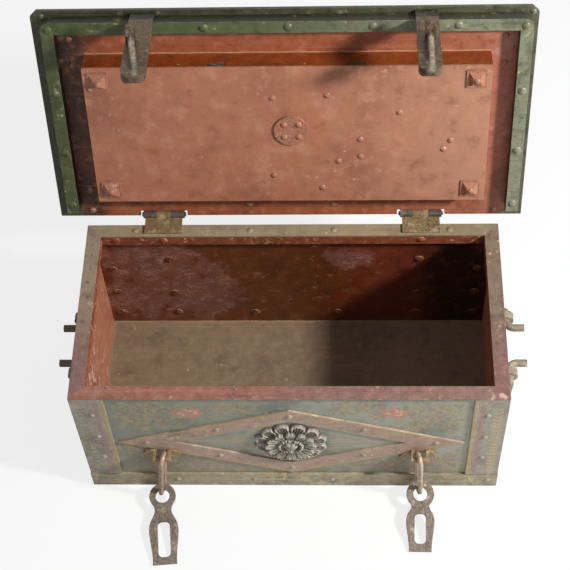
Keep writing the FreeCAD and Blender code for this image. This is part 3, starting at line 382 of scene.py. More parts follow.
@dataclass(frozen=True)
class Coat:
    """A worn coat of paint or the skin of bare iron: the layers that make one finish."""

    base: str
    dark: str
    light: str
    worn: str
    wear: float = 0.25
    edge: float = 0.6
    scratch: float = 0.3
    chips: float = 0.3
    scratch_axis: Axis = Axis.ACROSS
    fades: tuple[Fade, ...] = ()
    spots: tuple[Spot, ...] = ()
    rough: float = 0.62
    dents: float = 0.35
    pits: float = 0.0
    streaks: float = 0.0
    mottle: float = 0.6
    rub_scale: float = 55.0
    rub_cover: float = 0.8
    ridge: str = ""
    veins: float = 0.0
    polish: float = 0.0
    cloud: float = 11.0
    shift: float = 0.0
    worn_edge: float = 1.3 * MM

    def layers(self, graph: Graph) -> tuple[Value, Value, Value, Value]:
        """Lays this coat down in a graph.

        Args:
            graph: the graph of the material.

        Returns:
            Colour, roughness, relief and the share of polished metal.
        """
        broad = graph.noise(self.cloud, 5.0, 0.62, shift=self.shift)
        patches = graph.noise(self.cloud * Pattern.patch, 4.0, 0.65, shift=self.shift + 3.1)
        grain = graph.noise(Pattern.grain, 3.0, 0.7, shift=self.shift)
        colour: Value = paint(self.base)
        for fade in self.fades:
            run = graph.plus(graph.along(fade.axis), graph.times(broad, 2 * Pattern.fade_sway))
            share = graph.step(run, fade.start + Pattern.fade_sway, fade.end + Pattern.fade_sway)
            colour = graph.blend(share, colour, paint(fade.colour))
        colour = graph.cover(colour, self.dark, broad, 0.5, 0.7, 0.85)
        colour = graph.cover(colour, self.light, patches, 0.5, 0.68, self.mottle)
        colour = graph.cover(colour, self.dark, patches, 0.48, 0.3, self.mottle)
        if self.streaks:
            drawn = self._drawn_out(Pattern.streak, Pattern.streak_run)
            run = graph.noise(1.0, 4.0, 0.7, drawn, self.shift + 12.9)
            colour = graph.cover(colour, self.light, run, 0.54, 0.7, self.streaks)
            colour = graph.cover(colour, self.dark, run, 0.46, 0.3, self.streaks)
        # A relief attribute darkens the hollows, as dirt and as painted shade, and rubs the tops bright.
        if self.ridge:
            carved = graph.attribute(self.ridge)
            colour = graph.cover(colour, self.dark, carved, 0.48, 0.1, 0.85)
            colour = graph.cover(colour, self.worn, carved, 0.6, 0.95, 0.6)
        colour = graph.cover(colour, self.light, grain, 0.35, 0.7, 0.22)
        worn = self._worn(graph, broad, grain)
        colour = graph.blend(worn, colour, paint(self.worn))
        rough = graph.plus(graph.times(graph.minus(patches, 0.5), 0.35), self.rough)
        hammered = graph.noise(Pattern.hammer, 2.0, 0.5, shift=self.shift + 7.7)
        height = graph.plus(graph.times(hammered, self.dents), graph.times(grain, 0.09))
        height = graph.minus(height, graph.times(worn, 0.12))
        polished: Value = 0.0
        if self.polish:
            polished = graph.times(worn, self.polish)
            rough = graph.minus(rough, graph.times(polished, 0.2))
        if self.pits:
            hollow, pick = graph.cells(Pattern.pit, self.shift)
            pitted = graph.times(graph.step(hollow, 0.42, 0.12), graph.step(pick, 0.45, 0.6))
            height = graph.minus(height, graph.times(pitted, 0.35 * self.pits))
            colour = graph.blend(graph.times(pitted, 0.55 * self.pits), colour, paint(self.dark))
        return colour, rough, height, polished

    def _drawn_out(self, scale: float, run: float) -> Point:
        """Scales of a pattern that is drawn out along the scratches."""
        return tuple(run if axis is self.scratch_axis else scale for axis in Axis)

    def _worn(self, graph: Graph, broad: Value, grain: Value) -> Socket:
        """Where the paint is gone: scratches, chips, rubbed patches and edges.

        Args:
            graph: the graph of the material.
            broad: the broad cloud of the coat.
            grain: the fine grain of the coat.

        Returns:
            A share from 0 to 1.
        """
        drawn = self._drawn_out(Pattern.scratch, Pattern.scratch_run)
        streak = graph.noise(1.0, 3.0, 0.65, drawn, self.shift + 1.3)
        gaps = graph.noise(1.0, 2.0, 0.6, Pattern.scratch_gaps, self.shift + 5.9)
        lines = graph.times(graph.step(streak, 0.66, 0.74), graph.step(gaps, 0.4, 0.62))
        worn = graph.times(lines, self.scratch)
        hit, pick = graph.cells(Pattern.chip, self.shift + 2.2)
        wobble = graph.times(graph.minus(grain, 0.5), 0.35)
        few = 0.35 * self.chips
        chip = graph.times(graph.step(graph.plus(hit, wobble), 0.2, 0.1), graph.step(pick, 1.0 - few, 1.02 - few))
        worn = graph.most(worn, graph.times(chip, min(1.0, 3 * self.chips)))
        rub = graph.noise(self.rub_scale, 6.0, 0.78, shift=self.shift + 9.4)
        amount: Value = self.wear * 0.34
        edge = graph.noise(self.cloud * 3.0, 4.0, 0.65, shift=self.shift + 15.0) if self.spots else 0.5
        bright: Value = 0.0
        for spot in self.spots:
            if self.polish:
                bright = graph.most(bright, graph.near(spot, 0.5))
            else:
                amount = graph.plus(amount, graph.near(spot, edge))
        ragged = graph.plus(rub, graph.times(broad, 0.35))
        rubbed = graph.step(graph.plus(ragged, amount), 0.82, 0.96)
        worn = graph.most(worn, graph.times(rubbed, self.rub_cover))
        if self.polish:
            worn = graph.most(worn, graph.times(bright, graph.step(rub, 0.25, 0.62)))
        if self.veins:
            worn = graph.most(worn, self._veins(graph, edge))
        facing = {0: graph.bevel(self.worn_edge), 1: graph.node("ShaderNodeNewGeometry").outputs["Normal"]}
        same = graph.node("ShaderNodeVectorMath", facing, operation="DOT_PRODUCT")
        corner = graph.step(same.outputs["Value"], 0.985, 0.86)
        bare = 0.16 * self.edge
        corner = graph.times(corner, graph.step(rub, 0.56 - bare, 0.66 - bare))
        return graph.most(worn, graph.times(corner, self.edge))

    def _veins(self, graph: Graph, edge: Value) -> Socket:
        """Thin wandering scratches that crowd within the spots.

        Args:
            graph: the graph of the material.
            edge: cloudy value that makes the spots ragged.

        Returns:
            A share from 0 to 1.
        """
        inside: Value = 0.0
        for spot in self.spots:
            inside = graph.most(inside, graph.near(spot, edge))
        total: Value = 0.0
        for scale, shift in Pattern.veins:
            cloud = graph.noise(scale, 5.0, 0.62, Pattern.vein_stretch, self.shift + shift)
            line = graph.step(graph.size(graph.minus(cloud, 0.5)), 0.022, 0.004)
            total = graph.most(total, line)
        gate = graph.noise(Pattern.vein_gate, 4.0, 0.7, shift=self.shift + 17.0)
        gate = graph.step(graph.plus(gate, graph.times(inside, 0.3)), 0.56, 0.74)
        return graph.times(graph.times(total, gate), self.veins)


@dataclass(frozen=True)
class Finish:
    """A finish of one or two coats, such as green outside and red inside."""

    name: str
    outer: Coat
    inner: Optional[Coat] = None
    face: Face = Face.ONE
    metal: float = 0.0
    varnish: float = 0.0

    def make(self, hinge: "Hinge") -> Material:
        """Builds the material.

        Args:
            hinge: the lid's hinge, for coats that follow the shut lid.

        Returns:
            The material.
        """
        graph = Graph(bpy.data.materials.new(self.name))
        colour, rough, height, polished = self.outer.layers(graph)
        if self.inner:
            inside = self._inside(graph, hinge)
            other_colour, other_rough, other_height, _ = self.inner.layers(graph)
            colour = graph.blend(inside, colour, other_colour)
            rough = graph.swap(inside, rough, other_rough)
            height = graph.swap(inside, height, other_height)
        metal: Value = self.metal
        if self.outer.polish:
            metal = graph.plus(graph.times(polished, 1.0 - self.metal), self.metal)
        return graph.finish(colour, rough, height, metal, self.varnish)

    def _inside(self, graph: Graph, hinge: "Hinge") -> Socket:
        """Finds the faces that carry the second coat.

        Args:
            graph: the graph of the material.
            hinge: the lid's hinge.

        Returns:
            1 on those faces, and 0 on the others.
        """
        if self.face is Face.INSIDE_BODY:
            far_x = graph.minus(graph.size(graph.along(Axis.ACROSS)), BodyPlan.wall_x)
            far_y = graph.minus(graph.size(graph.along(Axis.DEPTH)), BodyPlan.wall_y)
            return graph.step(graph.most(far_x, far_y), SEAM, -SEAM)
        if self.face is Face.BELOW_RIM:
            return graph.step(graph.along(Axis.UP), BodyPlan.rim_under + SEAM, BodyPlan.rim_under - SEAM)
        shut = graph.closed_place(hinge.pivot, hinge.open_angle)
        across, depth, up = (graph.along(axis, shut) for axis in Axis)
        if self.face is Face.KNUCKLES:
            return graph.step(depth, LidPlan.knuckle_front, LidPlan.knuckle_front + 2.5 * SEAM)
        if self.face is Face.ABOVE_LIP:
            return graph.step(up, LidPlan.lip_face, LidPlan.lip_face + 2 * SEAM)
        side = graph.minus(graph.size(across), LidPlan.inner_x)
        front = graph.minus(LidPlan.inner_front, depth)
        above = graph.minus(up, LidPlan.sheet_middle)
        return graph.step(graph.most(graph.most(side, front), above), SEAM, -SEAM)


class BodyPlan:
    """Planes of the body that the paint follows, in metres from the middle of the chest and from the ground."""

    floor_top = 0.0065
    wall_x = 0.3258
    wall_y = 0.1568
    sheet_x = 0.327
    sheet_y = 0.158
    strap_x = 0.330
    strap_y = 0.161
    base_y = 0.162
    base_top = 0.039
    rim_top = 0.285
    rim_under = 0.282
    lattice_z = 0.147
    lattice_half_length = 0.271
    lattice_half_height = 0.101
    corner_width = 0.052
    half_length = 0.330
    field_low = 0.05
    field_high = 0.272
    line_low = 0.044
    line_high = 0.278


class LidPlan:
    """Planes of the shut lid that the paint follows, in metres."""

    inner_x = 0.3394
    inner_front = -0.1657
    sheet_middle = 0.2896
    sheet_under = 0.2883
    sheet_top = 0.2908
    lip_face = 0.2676
    front = -0.194
    back = 0.182
    left = -0.3745
    right = 0.367
    border = 0.030
    strap = 0.040
    key_y = -0.009
    fitting_x = 0.207
    knuckle_front = 0.172
    case_front = -0.120
    case_half_width = 0.3015


@dataclass(frozen=True)
class Hinge:
    """The lid's hinge line and how far the lid is open."""

    pivot: Vector
    open_angle: float

    @classmethod
    def from_frame(cls, joints: Sequence[dict]) -> "Hinge":
        """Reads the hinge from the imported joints."""
        joint = next(j for j in joints if j["name"] == "lid_hinge")
        return cls(Vector(joint["pos_m"]), math.radians(max(joint["range_deg"])))

    def opened(self) -> Matrix:
        """Turn that swings the shut lid open."""
        there = Matrix.Translation(self.pivot)
        return there @ Matrix.Rotation(-self.open_angle, 4, "X") @ there.inverted()


@dataclass(frozen=True)
class Panel:
    """A flat face that is painted: its name, slot and body, its origin, two directions along it and outward."""

    where: str
    slot: str
    body: str
    origin: Vector
    across: Vector
    upward: Vector
    outward: Vector

    @classmethod
    def upright(cls, where: str, facing: Point, reach: float, slot: str = "painted_outside") -> "Panel":
        """An upright face of the body.

        Args:
            where: name of the place.
            facing: direction that the face looks in.
            reach: its distance from the middle of the chest.
            slot: material slot of the strokes on it.

        Returns:
            The panel, with u to the right as seen from outside, and v up.
        """
        outward, up = Vector(facing), Vector((0, 0, 1))
        return cls(where, slot, "chest", outward * reach, up.cross(outward), up, outward)

    @classmethod
    def level(cls, where: str, height: float, facing: int, slot: str, body: str) -> "Panel":
        """A level face.

        Args:
            where: name of the place.
            height: its height over the ground, with the lid shut.
            facing: 1 if it looks up and -1 if it looks down.
            slot: material slot of the strokes on it.
            body: body that carries it.

        Returns:
            The panel, with u along x and v along y.
        """
        directions = (Vector((1, 0, 0)), Vector((0, 1, 0)), Vector((0, 0, facing)))
        return cls(where, slot, body, Vector((0, 0, height)), *directions)

    def at(self, u: float, v: float, lift: float) -> Vector:
        """Point of the panel, lifted off its face."""
        return self.origin + self.across * u + self.upward * v + self.outward * lift


@dataclass
class Brush:
    """Gathers brush strokes of one colour and makes them one thin mesh."""

    body: str
    slot: str
    points: list[Vector] = field(default_factory=list)
    faces: list[tuple[int, ...]] = field(default_factory=list)
    loads: list[float] = field(default_factory=list)
    low: float = 0.03 * MM
    high: float = 0.17 * MM
    leaf_half: int = 6
    petal_points: int = 12

    def fan(self, rim: Sequence[Vector], crown: Vector) -> None:
        """Adds one closed stroke with a raised middle.

        Args:
            rim: points round the stroke.
            crown: point of its middle.
        """
        start = len(self.points)
        count = len(rim)
        self.points.extend([*rim, crown])
        self.loads.extend([0.0] * count + [1.0])
        for index in range(count):
            self.faces.append((start + index, start + (index + 1) % count, start + count))

    def leaf(self, panel: Panel, u: float, v: float, angle: float, length: float, width: float) -> None:
        """Adds a pointed leaf whose stalk end is at (u, v).

        Args:
            panel: the face that carries it.
            u: place along the panel.
            v: place up the panel.
            angle: direction of the tip, in radians.
            length: length of the leaf.
            width: greatest width.
        """
        rim = []
        for index in range(2 * self.leaf_half):
            share = index / self.leaf_half
            side = 1.0 if share <= 1 else -1.0
            run = share if share <= 1 else 2 - share
            spread = side * 0.5 * width * math.sin(math.pi * run ** 0.8) ** 0.9
            rim.append(self._placed(panel, u, v, angle, run * length, spread, self.low))
        self.fan(rim, self._placed(panel, u, v, angle, 0.45 * length, 0.0, self.high))

    def petal(self, panel: Panel, u: float, v: float, radius: float, squash: float, angle: float) -> None:
        """Adds a round dab centred at (u, v).

        Args:
            panel: the face that carries it.
            u: place along the panel.
            v: place up the panel.
            radius: half of its length.
            squash: its width as a share of its length.
            angle: direction of its length, in radians.
        """
        rim = []
        for index in range(self.petal_points):
            turn = 2 * math.pi * index / self.petal_points
            run, side = radius * math.cos(turn), radius * squash * math.sin(turn)
            rim.append(self._placed(panel, u, v, angle, run, side, self.low))
        self.fan(rim, panel.at(u, v, self.high))

    def line(self, panel: Panel, route: Sequence[Place], width: float) -> None:
        """Adds a painted line along a route.

        Args:
            panel: the face that carries it.
            route: points (u, v) along the line.
            width: width of the line.
        """
        start = len(self.points)
        last = len(route) - 1
        half = 0.5 * width
        for index, (u, v) in enumerate(route):
            before, after = route[max(index - 1, 0)], route[min(index + 1, last)]
            run = Vector((after[0] - before[0], after[1] - before[1]))
            run.normalize()
            for offset, lift in ((-half, self.low), (0.0, self.high), (half, self.low)):
                self.points.append(panel.at(u - run.y * offset, v + run.x * offset, lift))
            self.loads.extend([0.0, 1.0, 0.0])
        for index in range(last):
            for strip in range(2):
                corner = start + 3 * index + strip
                self.faces.append((corner, corner + 3, corner + 4, corner + 1))

    def _placed(self, panel: Panel, u: float, v: float, angle: float, run: float, side: float, lift: float) -> Vector:
        """Point at a run along a direction and a step to its side."""
        cos, sin = math.cos(angle), math.sin(angle)
        return panel.at(u + run * cos - side * sin, v + run * sin + side * cos, lift)

    def make(self, name: str, material: Material, turn: Optional[Matrix] = None) -> bpy.types.Object:
        """Makes the strokes one piece that rides on its body.

        Args:
            name: name of the piece.
            material: its paint.
            turn: swing that takes shut-lid places to the open lid.

        Returns:
            The piece.
        """
        piece = add_mesh(name, self.points, self.faces, material)
        if turn:
            piece.data.transform(turn)
            piece.data.update()
        piece.data.attributes.new("load", "FLOAT", "POINT").data.foreach_set("value", self.loads)
        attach(piece, self.body)
        LOG.info("piece %s: %d strokes' faces on %s", name, len(self.faces), self.body)
        return piece


@dataclass(frozen=True)
class Pigment:
    """Colour of the brush strokes, thin at their edges and rubbed through to the ground coat below."""

    first: str
    second: str
    cover: float
    strength: float

    def make(self, name: str, ground_coat: Coat) -> Material:
        """Builds the material of the strokes.

        Args:
            name: name of the material.
            ground_coat: the coat that the strokes lie on.

        Returns:
            The material.
        """
        graph = Graph(bpy.data.materials.new(name))
        ground, rough, height, _ = ground_coat.layers(graph)
        dab = graph.noise(Pattern.dab, 4.0, 0.7, shift=4.4)
        ragged = graph.noise(Pattern.bristle, 4.0, 0.75, shift=8.1)
        stroke = graph.blend(graph.step(dab, 0.4, 0.65), paint(self.first), paint(self.second))
        held = graph.plus(graph.times(dab, 0.6), graph.times(ragged, 0.6))
        held = graph.plus(held, graph.times(graph.attribute("load"), 0.3))
        fuller = 0.27 * self.cover
        shown = graph.times(graph.step(held, 0.72 - fuller, 0.9 - fuller), self.strength)
        return graph.finish(graph.blend(shown, ground, stroke), rough, height, 0.0, 0.0)


class Ground:
    """The coats of the chest."""

    GREEN = Coat("7d8070", "61665a", "929384", "ada088", wear=0.15, edge=0.5, scratch=0.35, chips=0.25,
                 fades=(Fade("989a8a", Axis.ACROSS, -0.25, 0.05), Fade("8f8772", Axis.UP, 0.115, 0.07)), cloud=8.0,
                 rough=0.5)
    SIDE_GREEN = Coat("6c6f60", "50554a", "858574", "a79a80", wear=0.22, edge=0.6, scratch=0.3, chips=0.3,
                      scratch_axis=Axis.DEPTH, shift=11.0)
    # The last fade paints near-black over the right part of the back wall, where the right wall casts its shadow
    # (painted shadow).
    INNER_BACK = Coat("672f13", "3f1b0a", "70401f", "b58c82", wear=0.0, edge=0.3, scratch=0.6, chips=0.12,
                      spots=(Spot((-0.24, 0.155, 0.2), 0.13, 0.8), Spot((-0.19, 0.155, 0.1), 0.13, 0.6),
                             Spot((0.09, 0.155, 0.2), 0.05, 0.7), Spot((-0.29, 0.155, 0.08), 0.08, 0.7)),
                      fades=(Fade("5c2906", Axis.ACROSS, -0.2, -0.02), Fade("6e2a1c", Axis.ACROSS, 0.04, 0.12),
                             Fade("080302", Axis.ACROSS, 0.19, 0.25)),
                      veins=0.8, rough=0.42, shift=21.0, cloud=7.0, rub_scale=115.0, rub_cover=0.16)
    # Its fade paints the right inner wall lighter, where that wall lies in shade (painted light).
    INNER_SIDE = Coat("a4664c", "85452d", "bb8466", "dcc8b8", wear=0.3, edge=0.4, scratch=0.9, chips=0.3,
                      fades=(Fade("b87a60", Axis.ACROSS, -0.1, 0.1),),
                      scratch_axis=Axis.UP, rough=0.5, shift=23.0, streaks=0.5)
    # Its second fade paints the right part of the floor lighter, where the right wall's shadow falls (painted light).
    FLOOR = Coat("7f6c56", "635140", "937c5e", "a8957e", wear=0.1, edge=0.2, scratch=0.7, chips=0.3, rough=0.75,
                 fades=(Fade("73604c", Axis.ACROSS, -0.15, 0.05), Fade("8c7661", Axis.ACROSS, 0.1, 0.2)),
                 shift=25.0, cloud=14.0, streaks=0.35)
    STRAP = Coat("a38878", "78655a", "b59c88", "c8b48e", wear=0.3, edge=0.8, scratch=0.5, chips=0.4, cloud=13.0,
                 shift=31.0, streaks=0.4)
    CORNER = Coat("958e7f", "6c645a", "ada594", "b9a98e", wear=0.3, edge=0.6, scratch=0.35, chips=0.4,
                  scratch_axis=Axis.UP, shift=33.0, streaks=0.4)
    BASE = Coat("978c78", "5c5746", "aea485", "beae8e", wear=0.4, edge=0.7, scratch=0.9, chips=0.4, cloud=16.0,
                shift=35.0, streaks=0.8)
    RIM_FRONT = Coat("94604f", "694238", "a8786a", "c6a894", wear=0.2, edge=0.6, scratch=0.6, chips=0.2,
                     fades=(Fade("7c625a", Axis.ACROSS, -0.15, 0.1),), streaks=0.55,
                     spots=(Spot((0.319, -0.154, 0.285), 0.009, 0.26),), shift=37.0, mottle=0.75, cloud=16.0)
    RIM_SIDE = Coat("80605a", "614a42", "957869", "c0ad97", wear=0.2, edge=0.65, scratch=0.5, chips=0.3,
                    fades=(Fade("978770", Axis.DEPTH, -0.1, 0.04),), scratch_axis=Axis.DEPTH, shift=39.0,
                    streaks=0.55, mottle=0.75, cloud=16.0)
    RIM_RIGHT = Coat("75554f", "574038", "8b6f62", "c0ad97", wear=0.2, edge=0.65, scratch=0.5, chips=0.3,
                     fades=(Fade("766753", Axis.DEPTH, -0.1, 0.04),), scratch_axis=Axis.DEPTH, shift=39.0,
                     streaks=0.55, mottle=0.75, cloud=16.0)
    RIM_BACK = Coat("958369", "766650", "a79879", "b8a684", wear=0.25, edge=0.5, scratch=0.4, chips=0.3, shift=41.0,
                    fades=(Fade("7f715a", Axis.ACROSS, 0.1, 0.33),),
                    streaks=0.5, mottle=0.4)
    TAILS = Coat("86432b", "5e2a18", "a3664a", "c99a78", wear=0.3, edge=0.9, scratch=0.4, chips=0.4, rough=0.45,
                 fades=(Fade("3e1c0d", Axis.UP, 0.262, 0.25),), shift=44.0, cloud=60.0)
    RIM_LEG = Coat("86432b", "5e2a18", "a3664a", "d0a084", wear=0.3, edge=0.7, scratch=0.5, chips=0.4, rough=0.45,
                   shift=42.0, streaks=0.3, rub_scale=90.0)
    # Fades: lighter paint over the band right of the lock case, which lies mostly in the lip's shadow (painted
    # light), and near-black paint over the band left of the case, where the case casts its shadow (painted shadow).
    LID_RED = Coat("965030", "6c321e", "b3725a", "b58f80", wear=0.1, edge=0.35, scratch=0.35, chips=0.2,
                   spots=(Spot((0.33, 0.243, 0.51), 0.045, 0.2), Spot((0.33, 0.264, 0.587), 0.04, 0.22),
                          Spot((0.33, 0.221, 0.433), 0.045, 0.16)), rub_cover=0.45,
                   fades=(Fade("9c6049", Axis.ACROSS, 0.1, 0.33), Fade("170a05", Axis.ACROSS, -0.28, -0.32)),
                   rough=0.45, shift=43.0, streaks=0.35)
    LID_GREEN = Coat("3a3b2a", "22241a", "55553f", "857a66", wear=0.25, edge=0.7, scratch=0.6, chips=0.2,
                     fades=(Fade("53503f", Axis.ACROSS, -0.05, 0.34),), rough=0.42, shift=45.0, streaks=0.7)
    LIP = Coat("454c28", "2a2f1a", "5a6440", "a09a72", wear=0.2, edge=0.6, scratch=0.5, chips=0.35,
               fades=(Fade("7f806b", Axis.ACROSS, -0.15, 0.34),), rough=0.4, shift=47.0, cloud=15.0, streaks=0.45)
    LIP_WALL = Coat("24261a", "14150e", "3b3c29", "857046", wear=0.25, edge=0.75, scratch=0.5, chips=0.3,
                    fades=(Fade("3c3b2c", Axis.ACROSS, -0.1, 0.34),), rough=0.45, shift=48.0, streaks=0.6)
    CASE_WALL = Coat("84390f", "5a240a", "9c5422", "c98f5c", wear=0.12, edge=0.6, scratch=0.5, chips=0.25,
                     rough=0.3, shift=49.0, streaks=0.5)
    # Its fade paints the right part of the cover paler and greyer, as a painted sheen.
    COVER = Coat("a6694f", "8a563f", "b67f65", "cfa088", wear=0.1, edge=0.4, scratch=0.35, chips=0.2,
                 fades=(Fade("a8775f", Axis.ACROSS, 0.0, 0.28),), rough=0.48, shift=51.0, cloud=7.0, mottle=0.75)
    NUT = Coat("a0664e", "5f3a2b", "a98069", "c9ab92", wear=0.25, edge=0.6, scratch=0.3, chips=0.3, rough=0.4,
               shift=52.0, cloud=60.0)
    FORGED = Coat("4c443c", "2e2925", "6b6156", "8d8172", wear=0.3, edge=0.6, scratch=0.3, chips=0.4, pits=0.8,
                  rough=0.5, dents=0.6, shift=53.0, cloud=40.0)
    RUBBED = Coat("a58c78", "7a6555", "bda38c", "d8c6b2", wear=0.3, edge=0.5, scratch=0.4, chips=0.3, pits=0.5,
                  fades=(Fade("bba58d", Axis.ACROSS, -0.1, 0.1),),
                  scratch_axis=Axis.UP, rough=0.4, dents=0.4, shift=55.0, cloud=45.0, streaks=0.5)
    HASP = Coat("7b6e62", "4c4139", "968a7b", "b8aa98", wear=0.3, edge=0.6, scratch=0.4, chips=0.4, pits=0.9,
                scratch_axis=Axis.DEPTH, rough=0.45, dents=0.5, shift=57.0, cloud=45.0, streaks=0.4, mottle=0.8)
    LEAF = Coat("7e6748", "4e402e", "9b835c", "b29b76", wear=0.4, edge=0.7, scratch=0.4, chips=0.5, pits=0.6,
                shift=61.0, cloud=38.0, mottle=0.85)
    BRIDGE = Coat("8f7652", "5e4c38", "a88d66", "bfa888", wear=0.3, edge=0.5, scratch=0.3, chips=0.4, pits=0.5,
                  shift=63.0, cloud=45.0, mottle=0.85)
    # Its ridge attribute darkens the rosette's hollows: dirt there, plus painted shade.
    CAST = Coat("8c8376", "453e36", "9d9588", "beb6a8", wear=0.15, edge=0.3, scratch=0.2, chips=0.2, pits=0.5,
                rough=0.52, dents=0.3, shift=65.0, cloud=60.0, ridge="ridge")
    BAIL_PALE = Coat("857a68", "564d41", "a2967f", "b8ab96", wear=0.3, edge=0.5, scratch=0.3, chips=0.4, pits=0.7,
                     shift=67.0, cloud=45.0, mottle=0.8)
    STAPLE = Coat("4a4238", "2e2925", "6b6156", "8d8172", wear=0.25, edge=0.5, scratch=0.3, chips=0.3, pits=0.6,
                  fades=(Fade("a3967f", Axis.ACROSS, -0.1, 0.1),), rough=0.5, shift=69.0, cloud=45.0)

    @staticmethod
    def hook(hinge: "Hinge") -> Coat:
        """Rusty iron of the hook plates, rubbed bright along the ribs.

        Args:
            hinge: the lid's hinge, which swings the places of the shut ribs open.

        Returns:
            The coat.
        """
        spots = []
        for rib_x, lean in ((-0.216, -0.17), (0.2065, 0.0)):
            for step in range(14):
                fall = 0.005 * step
                closed = Vector((rib_x - lean * fall, -0.204 + 0.00175 * step, 0.206 - fall))
                spots.append(Spot(tuple(hinge.opened() @ closed), 0.0085, 0.95))
        return Coat("5a4837", "1f1a16", "7f6746", "bdb0a0", wear=0.1, edge=0.5, scratch=0.3, chips=0.3, pits=1.0,
                    scratch_axis=Axis.UP, rough=0.36, dents=0.6, shift=59.0, cloud=34.0, mottle=0.8,
                    polish=0.35, rub_cover=0.85, spots=tuple(spots))


@dataclass
class Finishes:
    """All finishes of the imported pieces, by node."""

    hinge: Hinge
    made: dict[str, Material] = field(default_factory=dict)

    def table(self) -> dict[Finish, tuple[str, ...]]:
        """Lists the finishes.

        Returns:
            The nodes that wear each finish.
        """
        wall_back = Finish("paint_wall_back", Ground.GREEN, Ground.INNER_BACK, Face.INSIDE_BODY, varnish=0.12)
        wall_front = Finish("paint_wall_front", Ground.GREEN, Ground.INNER_SIDE, Face.INSIDE_BODY)
        wall_side = Finish("paint_wall_side", Ground.SIDE_GREEN, Ground.INNER_SIDE, Face.INSIDE_BODY)
        return {
            wall_back: ("body_back_sheet",),
            wall_front: ("body_front_sheet",),
            wall_side: ("body_left_sheet", "body_right_sheet"),
            Finish("paint_floor", Ground.FLOOR): ("body_floor_sheet",),
            Finish("paint_straps", Ground.STRAP): ("front_diamond_straps", "back_straps", "side_straps"),
            Finish("paint_corners", Ground.CORNER): tuple(
                "corner_angle_%s_%s" % (end, side) for end in ("front", "back") for side in ("left", "right")),
            Finish("paint_base", Ground.BASE): tuple(
                "base_angle_%s" % side for side in ("front", "back", "left", "right")) + ("floor_straps",),
            Finish("paint_rim_front", Ground.RIM_FRONT, Ground.RIM_LEG, Face.BELOW_RIM): ("rim_front",),
            Finish("paint_rim_left", Ground.RIM_SIDE, Ground.RIM_LEG, Face.BELOW_RIM): ("rim_left",),
            Finish("paint_rim_right", Ground.RIM_RIGHT, Ground.RIM_LEG, Face.BELOW_RIM): ("rim_right",),
            Finish("paint_rim_back", Ground.RIM_BACK, Ground.RIM_LEG, Face.BELOW_RIM): ("rim_back",),
            Finish("paint_rivets_rim", Ground.RIM_BACK, Ground.TAILS, Face.BELOW_RIM): ("rim_rivets",),
            Finish("paint_lid_sheet", Ground.LID_GREEN, Ground.LID_RED, Face.UNDER_LID): ("lid_sheet",),
            Finish("paint_lid_straps", Ground.LID_GREEN): ("lid_border_straps", "lid_lattice_straps"),
            Finish("paint_hinge_straps", Ground.LID_GREEN, Ground.FORGED, Face.KNUCKLES): (
                "hinge_strap_left", "hinge_strap_right"),
            Finish("paint_rivets_lid", Ground.LIP, Ground.NUT, Face.UNDER_LID): ("lid_rivets",),
            Finish("paint_lip", Ground.LIP, Ground.LIP_WALL, Face.ABOVE_LIP): ("lip_front", "lip_left", "lip_right"),
            Finish("paint_case_wall", Ground.CASE_WALL, varnish=0.3): ("lock_case_walls",),
            Finish("paint_case_cover", Ground.COVER): ("lock_case_cover",),
            Finish("paint_case_nuts", Ground.NUT): ("case_corner_nuts", "key_post_disc", "cover_rivets"),
            Finish("iron_forged", Ground.FORGED, metal=0.35): (
                "handle_left", "hinge_pins", "key_post", "bolt_guides", "lock_spring", "lock_bolts", "bolt_carriage",
                "keyhole_cover", "keyhole_escutcheon"),
            Finish("iron_staples", Ground.STAPLE, metal=0.2): ("handle_staples",),
            Finish("iron_pale", Ground.BAIL_PALE, metal=0.2): ("handle_right",),
            Finish("iron_links", Ground.RUBBED, metal=0.25): ("link_left", "link_right"),
            Finish("iron_hasps", Ground.HASP, metal=0.3): ("hasp_left", "hasp_right"),
            Finish("iron_hooks", Ground.hook(self.hinge), Ground.LIP_WALL, Face.ABOVE_LIP, metal=0.35): (
                "hook_plate_left", "hook_plate_right"),
            Finish("iron_hinge_leaves", Ground.LEAF, metal=0.15): ("hinge_leaf_left", "hinge_leaf_right"),
            Finish("iron_bridges", Ground.BRIDGE, metal=0.15): ("bridge_staple_left", "bridge_staple_right"),
            Finish("paint_rivets_outside", Ground.CORNER): ("body_rivets",),
            Finish("iron_rosette", Ground.CAST, metal=0.05): ("rosette_plate", "rosette_boss"),
        }

    def dress(self, nodes: dict[str, bpy.types.Object]) -> None:
        """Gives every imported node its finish.

        Args:
            nodes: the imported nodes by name.
        """
        for finish, names in self.table().items():
            material = finish.make(self.hinge)
            self.made[finish.name] = material
            for name in names:
                mesh = nodes[name].data
                for index in range(len(mesh.materials)):
                    mesh.materials[index] = material
                if not mesh.materials:
                    mesh.materials.append(material)
            LOG.info("finish %s on %s", finish.name, ", ".join(names))


